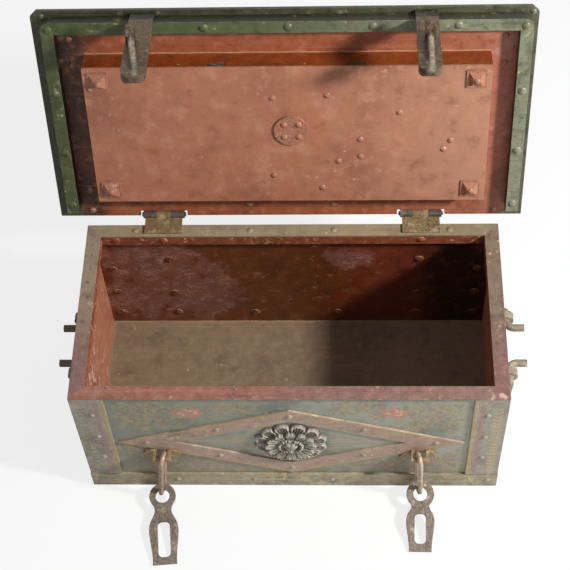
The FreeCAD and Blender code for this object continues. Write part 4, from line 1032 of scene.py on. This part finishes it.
@dataclass
class Rosette:
    """Cast rosette: an outer ring of ribbed shells, curled leaves over it, a cup and a lobed boss."""

    centre: Vector
    radius: float = 0.0588
    petals: int = 12
    rings: int = 72
    spokes: int = 480
    shell_start: float = 0.45
    leaf_start: float = 0.28
    leaf_tip: float = 0.74
    cup_ridge: float = 0.31
    cup_edge: float = 0.27
    boss_edge: float = 0.205
    lobes: int = 6
    ridge_range: float = 3.2 * MM
    ring_steps: tuple[int, ...] = (-5, -3, 0, 3, 5)
    spoke_steps: tuple[int, ...] = (-12, -6, 0, 6, 12)

    @staticmethod
    def bump(value: float, middle: float, width: float) -> float:
        """Smooth hill of height 1."""
        return math.exp(-((value - middle) / width) ** 2)

    def height(self, run: float, turn: float) -> float:
        """Height of the casting above its seat.

        Args:
            run: distance from the centre as a share of the radius.
            turn: angle round the centre.

        Returns:
            Height in metres.
        """
        height = 3.0
        if run > self.shell_start:
            height += self._shell(run, turn)
        height = max(height, self._leaf(run, turn))
        cup = self.bump(run, self.cup_ridge, 0.035)
        height += 4.6 * cup + 1.0 * cup * math.cos(turn * 20)
        if run < self.cup_edge:
            height = max(4.0 + 7.5 * cup, self._boss(run, turn))
        return max(height, 0.6) * MM

    def _shell(self, run: float, turn: float) -> float:
        """Height of the outer ring's ribbed shells.

        Args:
            run: distance from the centre as a share of the radius.
            turn: angle round the centre.

        Returns:
            Height in millimetres above the plate.
        """
        petal = (turn * self.petals / (2 * math.pi)) % 1.0 - 0.5
        across = abs(2 * petal)
        outward = max(0.0, min(1.0, (run - 0.5) / 0.5))
        curved_end = run + 0.07 * across ** 2
        bowl = 4.2 - 2.0 * outward - 1.6 * math.sin(math.pi * outward) * (1 - across ** 2)
        ribs = 1.1 * math.cos(2 * math.pi * 5.5 * petal) * math.sin(math.pi * min(1.0, outward * 1.1)) ** 0.7
        rolled = 1.3 * self.bump(curved_end, 0.93, 0.03) + 1.8 * self.bump(across, 0.78, 0.13) * outward ** 0.5
        cleft = 4.0 * max(0.0, (across - 0.86) / 0.14) ** 1.5
        lip = 3.6 * max(0.0, (curved_end - 0.93) / 0.07) ** 2
        return bowl + ribs * (1 - across ** 4) + rolled - cleft - lip

    def _leaf(self, run: float, turn: float) -> float:
        """Height of the curled leaves over the shells.

        Args:
            run: distance from the centre as a share of the radius.
            turn: angle round the centre.

        Returns:
            Height in millimetres, or 0 beside them.
        """
        leaf = ((turn * self.petals / (2 * math.pi)) + 0.5) % 1.0 - 0.5
        across = abs(2 * leaf)
        tip = self.leaf_tip - 0.2 * across ** 1.5
        if not self.leaf_start < run < tip:
            return 0.0
        share = (run - self.leaf_start) / (tip - self.leaf_start)
        crown = 6.0 + 5.4 * share ** 0.8 + 1.6 * (1 - across) - 1.5 * self.bump(across, 0.0, 0.1)
        return crown + 0.8 * math.cos(2 * math.pi * 6 * leaf) - 3.6 * max(0.0, (across - 0.72) / 0.28)

    def _boss(self, run: float, turn: float) -> float:
        """Height of the lobed boss.

        Args:
            run: distance from the centre as a share of the radius.
            turn: angle round the centre.

        Returns:
            Height in millimetres, or 0 beside it.
        """
        edge = self.boss_edge * (1.0 + 0.1 * math.cos(self.lobes * turn))
        if run >= edge:
            return 0.0
        dome = 1.0 - (run / edge) ** 2
        return 4.2 + 11.0 * dome ** 0.5 - 0.9 * self.bump(math.cos(self.lobes * turn), -1.0, 0.25)

    def reach(self, turn: float) -> float:
        """Outline of the casting at an angle: scalloped by the petals."""
        petal = (turn * self.petals / (2 * math.pi)) % 1.0 - 0.5
        return self.radius * (0.9 + 0.1 * math.cos(math.pi * petal) ** 0.6)

    def build(self, material: Material) -> bpy.types.Object:
        """Makes the casting and puts it in place of the plain plate and boss.

        Args:
            material: the finish of the casting.

        Returns:
            The piece.
        """
        lifts = []
        points = []
        for ring in range(self.rings + 1):
            run = ring / self.rings
            row = []
            for spoke in range(self.spokes):
                turn = 2 * math.pi * spoke / self.spokes
                length = self.reach(turn) * max(run, 0.002)
                lift = self.height(run, turn)
                row.append(lift)
                if ring == self.rings:
                    lift = 0.0
                points.append(self.centre + Vector((length * math.cos(turn), -lift, length * math.sin(turn))))
            lifts.append(row)
        faces = []
        for ring in range(self.rings):
            for spoke in range(self.spokes):
                first = ring * self.spokes + spoke
                second = ring * self.spokes + (spoke + 1) % self.spokes
                faces.append((first, second, second + self.spokes, first + self.spokes))
        faces.append(tuple(reversed(range(self.spokes))))
        piece = add_mesh("rosette_casting", points, faces, material)
        for polygon in piece.data.polygons:
            polygon.use_smooth = True
        self._mark_ridges(piece.data, lifts)
        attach(piece, "chest")
        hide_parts("rosette_plate", "rosette_boss")
        LOG.info("piece rosette_casting: %d faces", len(faces))
        return piece

    def _mark_ridges(self, mesh: bpy.types.Mesh, lifts: Sequence[Sequence[float]]) -> None:
        """Stores how far each point stands above or below its surroundings, for dirt and painted shade in the hollows
        and rubbed tops.

        Args:
            mesh: mesh of the casting.
            lifts: height of each point, by ring and spoke.
        """
        values = []
        for ring in range(self.rings + 1):
            rows = [lifts[min(max(ring + step, 0), self.rings)] for step in self.ring_steps]
            for spoke in range(self.spokes):
                around = [row[(spoke + step) % self.spokes] for row in rows for step in self.spoke_steps]
                above = lifts[ring][spoke] - sum(around) / len(around)
                values.append(min(1.0, max(0.0, 0.5 + above / self.ridge_range)))
        mesh.attributes.new("ridge", "FLOAT", "POINT").data.foreach_set("value", values)


@dataclass(frozen=True)
class Tuft:
    """A patch of scattered sprays: its middle, its half sizes and how many sprays are tried."""

    u: float
    v: float
    across: float
    upward: float
    tries: int


@dataclass
class Garden:
    """Painted flowers, leaf sprays and lines on the chest, in brushes by colour."""

    seed: int = 1700
    rose_petals: int = 8
    posy_dabs: int = 6
    edging_width: float = 4.4 * MM
    brushes: dict[str, Brush] = field(default_factory=dict)

    def __post_init__(self) -> None:
        """Sets out the random order."""
        self.random = random.Random(self.seed)

    def brush(self, colour: str, panel: Panel) -> Brush:
        """The brush for a colour on a panel."""
        return self.brushes.setdefault("%s_%s" % (panel.where, colour), Brush(panel.body, panel.slot))

    def spray(self, panel: Panel, start: Place, end: Place, bow: float, count: int) -> None:
        """A bowed stem set with leaves on both sides.

        Args:
            panel: the face that carries it.
            start: foot of the stem.
            end: tip of the stem.
            bow: how far the stem bows sideways.
            count: leaves along the stem.
        """
        run = Vector((end[0] - start[0], end[1] - start[1]))
        side = Vector((-run.y, run.x)).normalized()
        heading = math.atan2(run.y, run.x)
        for index in range(count):
            share = (index + 0.5) / count
            arch = math.sin(math.pi * share) * bow
            u = start[0] + run.x * share + side.x * arch
            v = start[1] + run.y * share + side.y * arch
            tilt = 0.75 + 0.35 * self.random.random()
            turn = heading + (tilt if index % 2 else -tilt)
            length = (11.5 + 6.5 * self.random.random()) * MM
            colour = self.random.choices(("ochre", "umber", "rose"), weights=(5, 4, 1.5))[0]
            self.brush(colour, panel).leaf(panel, u, v, turn, length, length * 0.52)

    def rose(self, panel: Panel, u: float, v: float, radius: float) -> None:
        """An open flower: broad outer petals, paler inner dabs and a few yellow ones.

        Args:
            panel: the face that carries it.
            u: place along the panel.
            v: place up the panel.
            radius: half of its width.
        """
        outer, inner, heart = (self.brush(colour, panel) for colour in ("red", "pink", "yellow"))
        for index in range(self.rose_petals):
            turn = 2 * math.pi * (index + 0.5 * self.random.random()) / self.rose_petals
            size = (0.36 + 0.16 * self.random.random()) * radius
            petal_u, petal_v = u + 0.72 * radius * math.cos(turn), v + 0.42 * radius * math.sin(turn)
            outer.petal(panel, petal_u, petal_v, size, 0.75, turn)
        outer.petal(panel, u, v, 0.7 * radius, 0.7, 0.0)
        for brush, count, reach in ((inner, 9, 0.62), (heart, 3, 0.5)):
            brush.low, brush.high = 0.14 * MM, 0.26 * MM
            for _ in range(count):
                turn = 2 * math.pi * self.random.random()
                run = reach * radius * self.random.random() ** 0.5
                brush.leaf(panel, u + run * math.cos(turn), v + 0.55 * run * math.sin(turn), turn + 1.2,
                           (0.3 + 0.2 * self.random.random()) * radius, 0.2 * radius)

    def posy(self, panel: Panel, u: float, v: float, radius: float) -> None:
        """A small soft flower of a few dull pink dabs.

        Args:
            panel: the face that carries it.
            u: place along the panel.
            v: place up the panel.
            radius: distance of the dabs from its middle.
        """
        brush = self.brush("blush", panel)
        for _ in range(self.posy_dabs):
            turn = 2 * math.pi * self.random.random()
            brush.petal(panel, u + radius * math.cos(turn), v + 0.6 * radius * math.sin(turn),
                        (0.5 + 0.3 * self.random.random()) * radius, 0.7, turn)

    def cluster(self, panel: Panel, tuft: Tuft, keep: Callable[[float, float], bool]) -> None:
        """Short sprays scattered about a point, where the panel has room.

        Args:
            panel: the face that carries it.
            tuft: the patch that they fill.
            keep: tells whether a place has room.
        """
        for _ in range(tuft.tries):
            du = (self.random.random() * 2 - 1) * tuft.across
            dv = (self.random.random() * 2 - 1) * tuft.upward
            heading = self.random.uniform(-0.9, 0.9) + (math.pi if self.random.random() < 0.5 else 0.0)
            reach = (20 + 14 * self.random.random()) * MM
            foot = (tuft.u + du, tuft.v + dv)
            end = (foot[0] + reach * math.cos(heading), foot[1] + reach * math.sin(heading))
            if keep(*foot) and keep(*end):
                self.spray(panel, foot, end, 4 * MM, 6)

    def garland(self, panel: Panel, u: float, low: float, high: float, colour: str = "ochre") -> None:
        """An upright ear of paired leaves.

        Args:
            panel: the face that carries it.
            u: place along the panel.
            low: its foot.
            high: its tip.
            colour: its paint.
        """
        brush = self.brush(colour, panel)
        step = 11 * MM
        for index in range(int((high - low) / step)):
            for side in (-1, 1):
                turn = math.pi / 2 + side * (0.6 + 0.2 * self.random.random())
                length = (10 + 2 * self.random.random()) * MM
                brush.leaf(panel, u, low + index * step, turn, length, 5.6 * MM)

    def wave(
        self, colour: str, panel: Panel, start: Place, end: Place, width: float, swing: float = 0.0, turns: int = 4,
    ) -> None:
        """A line that may swing to both sides of its run.

        Args:
            colour: its paint.
            panel: the face that carries it.
            start: one end.
            end: the other end.
            width: its width.
            swing: how far it swings.
            turns: how often it swings.
        """
        count = turns * 12 + 1
        run = Vector((end[0] - start[0], end[1] - start[1]))
        side = Vector((-run.y, run.x)).normalized()
        route = []
        for index in range(count):
            share = index / (count - 1)
            sway = swing * math.sin(2 * math.pi * turns * share)
            route.append((start[0] + run.x * share + side.x * sway, start[1] + run.y * share + side.y * sway))
        self.brush(colour, panel).line(panel, route, width)

    def edging(self, panel: Panel, u: float) -> None:
        """A yellow line up the inner edge of a corner strap."""
        ends = ((u, BodyPlan.line_low), (u, BodyPlan.line_high))
        self.wave("yellow", panel, *ends, self.edging_width, 0.3 * MM, 3)


@dataclass
class FrontPaint:
    """The painted front: two roses with sprays, flowers under the diamond, and lines on the straps."""

    garden: Garden
    facing: Point = (0, -1, 0)
    margin: float = 8 * MM
    tufts_above: tuple[Tuft, ...] = (Tuft(0.228, 0.222, 0.048, 0.05, 34), Tuft(0.1, 0.248, 0.045, 0.014, 12))
    tufts_below: tuple[Tuft, ...] = (Tuft(0.245, 0.09, 0.025, 0.034, 16), Tuft(0.13, 0.065, 0.06, 0.02, 18))
    left_rose: float = -0.154
    right_rose: float = 0.159
    rose_height: float = 0.238
    rose_radius: float = 21 * MM
    spray_starts: Place = (0.02, 0.246)
    spray_ends: Place = (0.055, 0.262)
    posies: tuple[Place, ...] = ((0.248, 0.098), (0.222, 0.072), (0.158, 0.074), (0.12, 0.062), (0.145, 0.058))
    posy_radius: float = 7.5 * MM
    base_line: float = 0.325
    scroll_start: float = 0.06
    scrolls: tuple[tuple[float, str, float], ...] = (
        (5, "grey", 0.16), (10, "blush", 0.15), (15, "ochre", 0.13), (21, "rose", 0.105), (27, "grey", 0.09))

    def build(self) -> None:
        """Paints the front."""
        self._fields(Panel.upright("front", self.facing, BodyPlan.sheet_y))
        self._diamond(Panel.upright("diamond", self.facing, BodyPlan.strap_y, "painted_straps"))
        self._scrolls(Panel.upright("scroll", self.facing, BodyPlan.sheet_y))
        self._corners(Panel.upright("corner", self.facing, BodyPlan.strap_y, "painted_straps"))
        base = Panel.upright("base", self.facing, BodyPlan.base_y, "painted_straps")
        edge = BodyPlan.base_top - 3.2 * MM
        self.garden.wave("yellow", base, (-self.base_line, edge), (self.base_line, edge), 3.0 * MM)

    @staticmethod
    def diamond_height(x: float) -> float:
        """Half height of the diamond's outside at a place along it."""
        return max(0.0, BodyPlan.lattice_half_height * (1 - abs(x) / BodyPlan.lattice_half_length))

    def _fields(self, sheet: Panel) -> None:
        """Roses above the diamond and small flowers below it.

        Args:
            sheet: face of the front sheet.
        """
        garden = self.garden
        inner_x = BodyPlan.half_length - BodyPlan.corner_width - self.margin

        def above(u: float, v: float) -> bool:
            """True over the diamond."""
            low = BodyPlan.lattice_z + self.diamond_height(u) + self.margin
            return abs(u) < inner_x and low < v < BodyPlan.field_high

        def below(u: float, v: float) -> bool:
            """True under the diamond."""
            high = BodyPlan.lattice_z - self.diamond_height(u) - self.margin
            return abs(u) < inner_x and BodyPlan.base_top + self.margin < v < high

        for side, rose_x in ((-1, self.left_rose), (1, self.right_rose)):
            for tuft in self.tufts_above:
                garden.cluster(sheet, replace(tuft, u=side * tuft.u), above)
            garden.rose(sheet, rose_x, self.rose_height, self.rose_radius)
            for way in (-1, 1):
                start = (rose_x + way * self.spray_starts[0], self.spray_starts[1])
                end = (rose_x + way * self.spray_ends[0], self.spray_ends[1])
                garden.spray(sheet, start, end, -way * 4 * MM, 6)
            for tuft in self.tufts_below:
                garden.cluster(sheet, replace(tuft, u=side * tuft.u), below)
            for spot_x, spot_z in self.posies:
                garden.posy(sheet, side * spot_x, spot_z, self.posy_radius)

    def _diamond(self, strap: Panel) -> None:
        """Lines along both edges of the diamond's straps.

        Args:
            strap: face of the straps.
        """
        slope = math.atan2(BodyPlan.lattice_half_height, BodyPlan.lattice_half_length)
        middle = BodyPlan.lattice_z
        for inset, colour, width in ((2.4 * MM, "yellow", 2.8 * MM), (28.8 * MM, "grey", 2.0 * MM)):
            half_z = BodyPlan.lattice_half_height - inset / math.cos(slope)
            half_x = BodyPlan.lattice_half_length - inset / math.sin(slope)
            for side, up in QUARTERS:
                self.garden.wave(colour, strap, (0.0, middle + up * half_z), (side * half_x, middle), width)

    def _scrolls(self, sheet: Panel) -> None:
        """Scrolls within the diamond, beside the rosette.

        Args:
            sheet: face of the front sheet.
        """
        for side, up in QUARTERS:
            for rise, colour, reach in self.scrolls:
                start = (side * self.scroll_start, BodyPlan.lattice_z + up * rise * MM)
                end = (side * reach, BodyPlan.lattice_z + up * 0.35 * rise * MM)
                self.garden.wave(colour, sheet, start, end, 4.6 * MM, 1.2 * MM, 1)

    def _corners(self, strap: Panel) -> None:
        """Yellow inner edge, dull pink streak and an ear of leaves on each corner strap.

        Args:
            strap: face of the straps.
        """
        low, high = BodyPlan.base_top + 5 * MM, BodyPlan.rim_top - 9 * MM
        edge = BodyPlan.half_length - BodyPlan.corner_width
        lines = (("yellow", 3 * MM, low - 3 * MM, high + 3 * MM, 5.4 * MM, 0.3 * MM),
                 ("blush", 14 * MM, low + 8 * MM, high - 4 * MM, 11 * MM, 0.8 * MM))
        for side in (-1, 1):
            for colour, inset, foot, top, width, swing in lines:
                u = side * (edge + inset)
                self.garden.wave(colour, strap, (u, foot), (u, top), width, swing, 3)
            ear = "gold" if side > 0 else "umber"
            self.garden.garland(strap, side * (edge + 37 * MM), low + 8 * MM, high - 12 * MM, ear)


@dataclass
class InnerPaint:
    """Pale seams where the paint has cracked along the lock case and the edges of the floor."""

    garden: Garden

    def build(self) -> None:
        """Paints the seam of the lock case, drawn shut, and the two seen edges of the floor."""
        under = Panel.level("seam", LidPlan.sheet_under, -1, "painted_inside", "lid")
        front = LidPlan.case_front - 1.2 * MM
        half = LidPlan.case_half_width
        self.garden.wave("cream", under, (-half, front), (half, front), 2.6 * MM, 0.25 * MM, 9)
        bottom = Panel.level("floor", BodyPlan.floor_top, 1, "painted_inside", "chest")
        left, back = -BodyPlan.wall_x + 3 * MM, BodyPlan.wall_y - 3 * MM
        self.garden.wave("dust", bottom, (left, -back), (left, back), 6 * MM, 0.6 * MM, 5)
        self.garden.wave("dust", bottom, (left, back), (-left, back), 5 * MM, 0.6 * MM, 9)


@dataclass
class RestPaint:
    """Painted flowers on the sides, the back and the lid's top."""

    garden: Garden
    side_roses: tuple[Place, ...] = ((0.215, 17 * MM), (0.09, 15 * MM))
    side_tuft: Tuft = Tuft(0.0, 0.155, 0.02, 0.08, 30)
    side_half: float = 0.027
    back_rose_places: Place = (-0.09, 0.09)
    back_edge_places: Place = (0.252, -0.252)
    back_rose_height: float = 0.17
    back_rose_radius: float = 24 * MM
    lid_rose_gap: float = 0.13
    lid_rose_radius: float = 22 * MM
    lid_margin: float = 9 * MM
    wide_field: float = 0.2

    def build(self) -> None:
        """Paints the sides, the back and the lid's top."""
        for side in (-1, 1):
            self._side(side)
        self._back()
        self._lid()

    @staticmethod
    def _upright(v: float) -> bool:
        """True between the base and the rim."""
        return BodyPlan.field_low < v < BodyPlan.field_high

    def _side(self, side: int) -> None:
        """Paints one side.

        Args:
            side: -1 for the left side and 1 for the right side.
        """
        garden = self.garden
        wall = Panel.upright("side", (side, 0, 0), BodyPlan.sheet_x)
        for height, radius in self.side_roses:
            garden.rose(wall, 0.0, height, radius)
        garden.cluster(wall, self.side_tuft, lambda u, v: abs(u) < self.side_half and self._upright(v))
        corner = Panel.upright("side_strap", (side, 0, 0), BodyPlan.strap_x, "painted_straps")
        inner = BodyPlan.strap_y - BodyPlan.corner_width
        for end in (-1, 1):
            garden.edging(corner, end * (inner + 3 * MM))
            garden.garland(corner, end * (inner + 40 * MM), 0.056, 0.27)

    def _back(self) -> None:
        """Paints the back."""
        garden = self.garden
        facing = (0, 1, 0)
        back = Panel.upright("back", facing, BodyPlan.sheet_y)

        def free(u: float, v: float) -> bool:
            """True beside the hinge straps."""
            return self._upright(v) and (abs(u) < 0.178 or 0.236 < abs(u) < 0.27)

        for x in self.back_rose_places:
            garden.rose(back, x, self.back_rose_height, self.back_rose_radius)
            garden.cluster(back, Tuft(x, 0.16, 0.075, 0.095, 34), free)
        for x in self.back_edge_places:
            garden.cluster(back, Tuft(x, 0.16, 0.014, 0.095, 12), free)
        strap = Panel.upright("back_strap", facing, BodyPlan.strap_y, "painted_straps")
        edge = BodyPlan.half_length - BodyPlan.corner_width
        for side in (-1, 1):
            garden.edging(strap, side * (edge + 3 * MM))

    def _lid(self) -> None:
        """Paints the fields of the lid's top, drawn shut."""
        top = Panel.level("lid", LidPlan.sheet_top, 1, "painted_lid", "lid")
        half = LidPlan.strap / 2
        rows = ((LidPlan.front + LidPlan.border, LidPlan.key_y - half),
                (LidPlan.key_y + half, LidPlan.back - LidPlan.border))
        columns = ((LidPlan.left + LidPlan.border, -LidPlan.fitting_x - half),
                   (-LidPlan.fitting_x + half, LidPlan.fitting_x - half),
                   (LidPlan.fitting_x + half, LidPlan.right - LidPlan.border))
        for depth in rows:
            for across in columns:
                self._lid_field(top, across, depth)

    def _lid_field(self, top: Panel, across: Place, depth: Place) -> None:
        """Paints one field of the lid's top.

        Args:
            top: face of the lid's sheet.
            across: left and right edge of the field.
            depth: front and back edge of the field.
        """
        (left, right), (low, high), margin = across, depth, self.lid_margin
        middle = ((left + right) / 2, (low + high) / 2)
        count = 3 if right - left > self.wide_field else 1
        for index in range(count):
            u = middle[0] + (index - (count - 1) / 2) * self.lid_rose_gap
            self.garden.rose(top, u, middle[1], self.lid_rose_radius)
        tuft = Tuft(*middle, (right - left) / 2, (high - low) / 2, 26 * count)
        self.garden.cluster(top, tuft, lambda u, v: (
            left + margin < u < right - margin and low + margin < v < high - margin))


@dataclass(frozen=True)
class Studio:
    """Camera, lamp, floor and backdrop."""

    camera_place: Point = (0.0886, -1.2217, 2.1653)
    elevation: float = 55.985
    yaw: float = 4.384
    roll: float = -3.786
    lens: float = 91.64
    sensor: float = 36.0
    farthest: float = 50.0
    lamp_place: Point = (1.7, -0.6, 1.7)
    lamp_aim: Point = (0.0, 0.05, 0.3)
    lamp_size: float = 0.26
    lamp_power: float = 66.0
    surround: float = 0.3
    half_floor: float = 6.0
    floor_colour: Colour = (0.85, 0.85, 0.85, 1.0)
    floor_glow: float = 0.8

    def build(self) -> None:
        """Sets the studio up."""
        self._camera()
        self._lamp()
        self._surround()
        self._floor()
        bpy.context.scene.view_settings.view_transform = "Standard"

    def _camera(self) -> None:
        """Camera at the photograph's angle."""
        tilt, turn, lean = (math.radians(a) for a in (self.elevation, self.yaw, self.roll))
        swing = Matrix.Rotation(turn, 3, "Z")
        ahead = swing @ Vector((0, math.cos(tilt), -math.sin(tilt)))
        upward = swing @ Vector((0, math.sin(tilt), math.cos(tilt)))
        right = swing @ Vector((1, 0, 0))
        right, upward = (right * math.cos(lean) + upward * math.sin(lean),
                         upward * math.cos(lean) - right * math.sin(lean))
        data = bpy.data.cameras.new("camera")
        data.lens = self.lens
        data.sensor_width = self.sensor
        data.clip_end = self.farthest
        camera = add_object("camera", data)
        facing = Matrix((right, upward, -ahead)).transposed().to_4x4()
        camera.matrix_world = Matrix.Translation(Vector(self.camera_place)) @ facing
        bpy.context.scene.camera = camera

    def _lamp(self) -> None:
        """A soft key from the front right."""
        key = bpy.data.lights.new("key", "AREA")
        key.shape = "DISK"
        key.size = self.lamp_size
        key.energy = self.lamp_power
        lamp = add_object("key", key)
        lamp.location = self.lamp_place
        aim = Vector(self.lamp_aim) - Vector(self.lamp_place)
        lamp.rotation_euler = aim.to_track_quat("-Z", "Y").to_euler()

    def _surround(self) -> None:
        """An even surround, dim as a lamp but white where it is seen or mirrored."""
        graph = Graph(bpy.data.worlds.new("surround"))
        path = graph.node("ShaderNodeLightPath").outputs
        seen = graph.most(path["Is Camera Ray"], path["Is Glossy Ray"])
        seen = graph.most(seen, path["Is Transmission Ray"])
        strength = graph.node("ShaderNodeMapRange", {"Value": seen, "To Min": self.surround, "To Max": 1.0})
        back = graph.node("ShaderNodeBackground", {"Color": WHITE, "Strength": strength.outputs[0]})
        graph.node("ShaderNodeOutputWorld", {"Surface": back.outputs[0]})
        bpy.context.scene.world = graph.owner

    def _floor(self) -> None:
        """Plain pale floor that keeps a light shadow."""
        graph = Graph(bpy.data.materials.new("floor_white"))
        chalk = graph.node("ShaderNodeBsdfDiffuse", {"Color": self.floor_colour})
        glow = graph.node("ShaderNodeEmission", {"Strength": 1.0})
        share = graph.times(graph.node("ShaderNodeLightPath").outputs["Is Camera Ray"], self.floor_glow)
        both = graph.node("ShaderNodeMixShader", {0: share, 1: chalk.outputs[0], 2: glow.outputs[0]})
        graph.node("ShaderNodeOutputMaterial", {"Surface": both.outputs[0]})
        half = self.half_floor
        corners = [(-half, -half, 0), (half, -half, 0), (half, half, 0), (-half, half, 0)]
        add_mesh("floor", corners, [(0, 1, 2, 3)], graph.owner)


PIGMENTS: dict[str, Pigment] = {
    "ochre": Pigment("a5976d", "918763", 0.68, 0.72),
    "umber": Pigment("86785f", "7b6e5e", 0.66, 0.6),
    "rose": Pigment("a27c6c", "8f7365", 0.7, 0.7),
    "red": Pigment("bd8370", "b57664", 1.35, 0.9),
    "pink": Pigment("d0a488", "c9ab80", 1.1, 0.85),
    "yellow": Pigment("b39c64", "9c8b5e", 0.8, 0.8),
    "blush": Pigment("a17a76", "93706b", 0.6, 0.62),
    "grey": Pigment("a39c86", "989079", 0.8, 0.65),
    "cream": Pigment("c49a7a", "ae7f5f", 0.6, 0.8),
    "dust": Pigment("a98a6a", "8f6f4f", 0.4, 0.55),
    "gold": Pigment("b9a577", "a6956a", 1.1, 0.85),
}

GROUNDS: dict[str, Coat] = {
    "front": Ground.GREEN, "scroll": Ground.GREEN, "back": Ground.GREEN, "side": Ground.SIDE_GREEN,
    "diamond": Ground.STRAP, "corner": Ground.CORNER, "side_strap": Ground.CORNER, "back_strap": Ground.CORNER,
    "base": Ground.BASE, "lid": Ground.LID_GREEN, "seam": Ground.LID_RED, "floor": Ground.FLOOR,
}


def paint_garden(garden: Garden, hinge: Hinge) -> None:
    """Turns the brushes into pieces.

    Args:
        garden: the strokes by place and colour.
        hinge: the lid's hinge, which swings the strokes of the lid open.
    """
    for key, brush in sorted(garden.brushes.items()):
        where, colour = key.rsplit("_", 1)
        material = PIGMENTS[colour].make("stroke_%s" % key, GROUNDS[where])
        brush.make("strokes_%s" % key, material, hinge.opened() if brush.body == "lid" else None)


def main(frame: dict) -> None:
    """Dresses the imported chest.

    Args:
        frame: the loaded frame.
    """
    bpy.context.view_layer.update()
    hinge = Hinge.from_frame(frame["joints"])
    Studio().build()
    finishes = Finishes(hinge)
    finishes.dress(frame["nodes"])
    Rosette(Vector((0.0, -BodyPlan.sheet_y, BodyPlan.lattice_z))).build(finishes.made["iron_rosette"])
    garden = Garden()
    for painter in (FrontPaint(garden), InnerPaint(garden), RestPaint(garden)):
        painter.build()
    paint_garden(garden, hinge)


if __name__ == "__main__":
    main(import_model())
